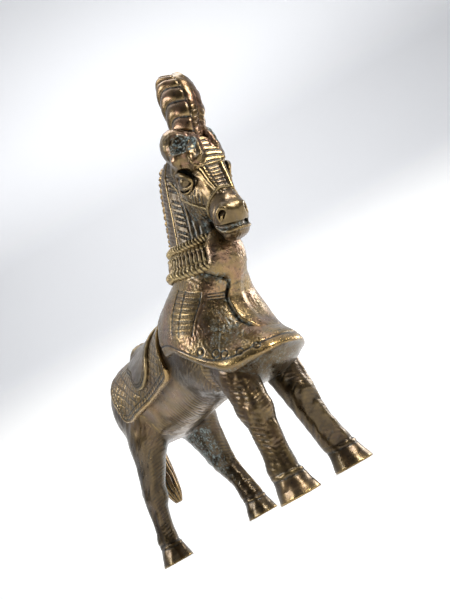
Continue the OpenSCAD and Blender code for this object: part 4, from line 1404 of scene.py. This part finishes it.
def make_materials():
    # The metal, its brown lacquer and its bare gold; then gloss, pits, green, and dark: how dark the patina
    # and painted shade in enclosed hollows go
    looks = {
        "bronze_hide": ((0.135, 0.088, 0.034), (0.06, 0.039, 0.017), (0.39, 0.27, 0.105), 0.30),
        "bronze_hair": ((0.17, 0.106, 0.042), (0.08, 0.048, 0.021), (0.43, 0.295, 0.12), 0.28),
        "bronze_tack": ((0.155, 0.11, 0.047), (0.068, 0.048, 0.023), (0.40, 0.295, 0.13), 0.32),
        "bronze_cloth": ((0.235, 0.162, 0.068), (0.13, 0.088, 0.04), (0.45, 0.29, 0.10), 0.28,
                         0.7, 1.0, 0.7),
        "bronze_pin": ((0.55, 0.42, 0.22), (0.36, 0.26, 0.13), (0.72, 0.56, 0.28), 0.28, 0.0, 0.2),
    }
    slots = {name: bronze(name, *look) for name, look in looks.items()}
    for node, (piece, *_rest) in PIECES.items():
        piece.data.materials.append(slots[SLOTS[node]])


# ---------------------------------------------------------------- stage, lights and camera


CAMERA_PLACE = (-0.1131, -0.1698, 0.003)
CAMERA_YAW = 39.8
CAMERA_PITCH = 20.5
CAMERA_ROLL = -29.4
CAMERA_LENS = 31.7
SENSOR_WIDTH = 36
GREY_BAND = (0.62, 0.95)        # heights over which the wall turns from white to grey and its painted glow dims
PAINTED_GLOW_ABOVE = (1.0, 2.0)       # and over which its painted glow brightens again


def make_stage():
    """A pale floor that curves up into a pale wall behind the horse, square to the camera."""
    half, bend_r, back = 2.2, 0.5, 1.3
    yaw = math.radians(CAMERA_YAW)
    ahead = np.array([math.sin(yaw), math.cos(yaw)])
    profile = [(-1.6, 0.0)] + [(back + bend_r * math.sin(a), bend_r * (1 - math.cos(a)))
                               for a in np.linspace(0, math.pi / 2, 24)] + [(back + bend_r, 3.4)]
    aside = np.array([ahead[1], -ahead[0]])
    points, faces = [], []
    for run, height in profile:
        for t in (-half, half):
            x, y = ahead * run + aside * t
            points.append((x, y, height))
    for i in range(len(profile) - 1):
        faces.append((2 * i, 2 * i + 1, 2 * i + 3, 2 * i + 2))
    me = bpy.data.meshes.new("floor")
    me.from_pydata(points, [], faces)
    for face in me.polygons:
        face.use_smooth = True
    floor = bpy.data.objects.new("floor", me)
    bpy.context.scene.collection.objects.link(floor)
    t = Nodes("pale_floor")
    place = t.add("ShaderNodeTexCoord").outputs["Object"]
    split = t.add("ShaderNodeSeparateXYZ")
    t.link(place, split.inputs[0])
    height = split.outputs["Z"]
    colour = t.mix(t.ramp(height, *GREY_BAND), (0.92, 0.92, 0.91), (0.80, 0.81, 0.835))
    shader = t.add("ShaderNodeBsdfPrincipled")
    t.put(shader.inputs["Base Color"], colour)
    shader.inputs["Roughness"].default_value = 0.6
    shader.inputs["Specular IOR Level"].default_value = 0.2
    # Painted light: the floor and wall glow by themselves, brightest high on the wall, a little less on the
    # floor, dimmest over the grey band.
    t.put(shader.inputs["Emission Color"], colour)
    painted_glow_low = t.ramp(height, *GREY_BAND, 0.42, 0.16)
    painted_glow = t.math("MAXIMUM", painted_glow_low, t.ramp(height, *PAINTED_GLOW_ABOVE, 0.0, 0.5))
    t.put(shader.inputs["Emission Strength"], painted_glow)
    t.link(shader.outputs[0], t.add("ShaderNodeOutputMaterial").inputs[0])
    me.materials.append(t.material)


def soft_light(name, place, target, size, power, colour=(1, 1, 1)):
    lamp = bpy.data.lights.new(name, "AREA")
    lamp.shape = "DISK"
    lamp.size = size
    lamp.energy = power
    lamp.color = colour
    light = bpy.data.objects.new(name, lamp)
    light.location = place
    light.rotation_euler = (Vector(target) - Vector(place)).to_track_quat("-Z", "Y").to_euler()
    bpy.context.scene.collection.objects.link(light)


def make_lights():
    centre = (0, -0.02, 0.07)
    soft_light("key", (0.10, -0.62, 0.46), centre, 0.16, 2.6, (1, 0.985, 0.96))
    soft_light("side", (-0.60, 0.22, 0.42), centre, 0.26, 2.2, (0.95, 0.97, 1))
    soft_light("far_side", (0.62, -0.12, 0.20), centre, 0.22, 1.4, (1, 0.97, 0.93))
    soft_light("wall_wash", (0.3, 0.1, 1.9), (1.0, 1.2, 0.5), 1.6, 17)
    # The room is bright above and beyond the horse, and dim behind the viewer
    world = bpy.data.worlds.new("studio")
    bpy.context.scene.world = world
    world.use_nodes = True
    tree = world.node_tree
    back = tree.nodes["Background"]
    place = tree.nodes.new("ShaderNodeTexCoord")
    dot = tree.nodes.new("ShaderNodeVectorMath")
    dot.operation = "DOT_PRODUCT"
    dot.inputs[1].default_value = (0.35, 0.45, 0.82)
    ramp = tree.nodes.new("ShaderNodeMapRange")
    ramp.interpolation_type = "SMOOTHSTEP"
    for key, value in (("From Min", -0.25), ("From Max", 0.85), ("To Min", 0.07), ("To Max", 0.8)):
        ramp.inputs[key].default_value = value
    tree.links.new(place.outputs["Generated"], dot.inputs[0])
    tree.links.new(dot.outputs["Value"], ramp.inputs["Value"])
    tree.links.new(ramp.outputs[0], back.inputs[1])
    back.inputs[0].default_value = (0.93, 0.95, 1.0, 1)
    bpy.context.scene.view_settings.view_transform = "Standard"


def make_camera():
    """Low in front of the horse's right shoulder, looking up, with the horse leaning in the frame."""
    yaw, pitch, roll = (math.radians(v) for v in (CAMERA_YAW, CAMERA_PITCH, CAMERA_ROLL))
    look = Vector((math.cos(pitch) * math.sin(yaw), math.cos(pitch) * math.cos(yaw), math.sin(pitch)))
    level = look.cross(Vector((0, 0, 1))).normalized()
    above = level.cross(look)
    right = level * math.cos(roll) + above * math.sin(roll)
    up = above * math.cos(roll) - level * math.sin(roll)
    lens = bpy.data.cameras.new("camera")
    lens.lens = CAMERA_LENS
    lens.sensor_width = SENSOR_WIDTH
    lens.clip_start = 0.005
    camera = bpy.data.objects.new("camera", lens)
    axes = Matrix((right, up, -look)).transposed()
    camera.matrix_world = Matrix.Translation(CAMERA_PLACE) @ axes.to_4x4()
    bpy.context.scene.collection.objects.link(camera)
    bpy.context.scene.camera = camera


make_camera()
make_lights()
make_stage()
make_body()
make_legs()
make_neck_and_head()
make_crest()
make_mane()
rope_ring("collar_upper_rope", HIGH_ROPE, 1.35, 30)
rope_ring("collar_lower_rope", LOW_ROPE, 1.65, 26)
make_fringe()
make_cloths()
make_saddle()
make_tail()
make_dowels()
add_hollows()
make_materials()
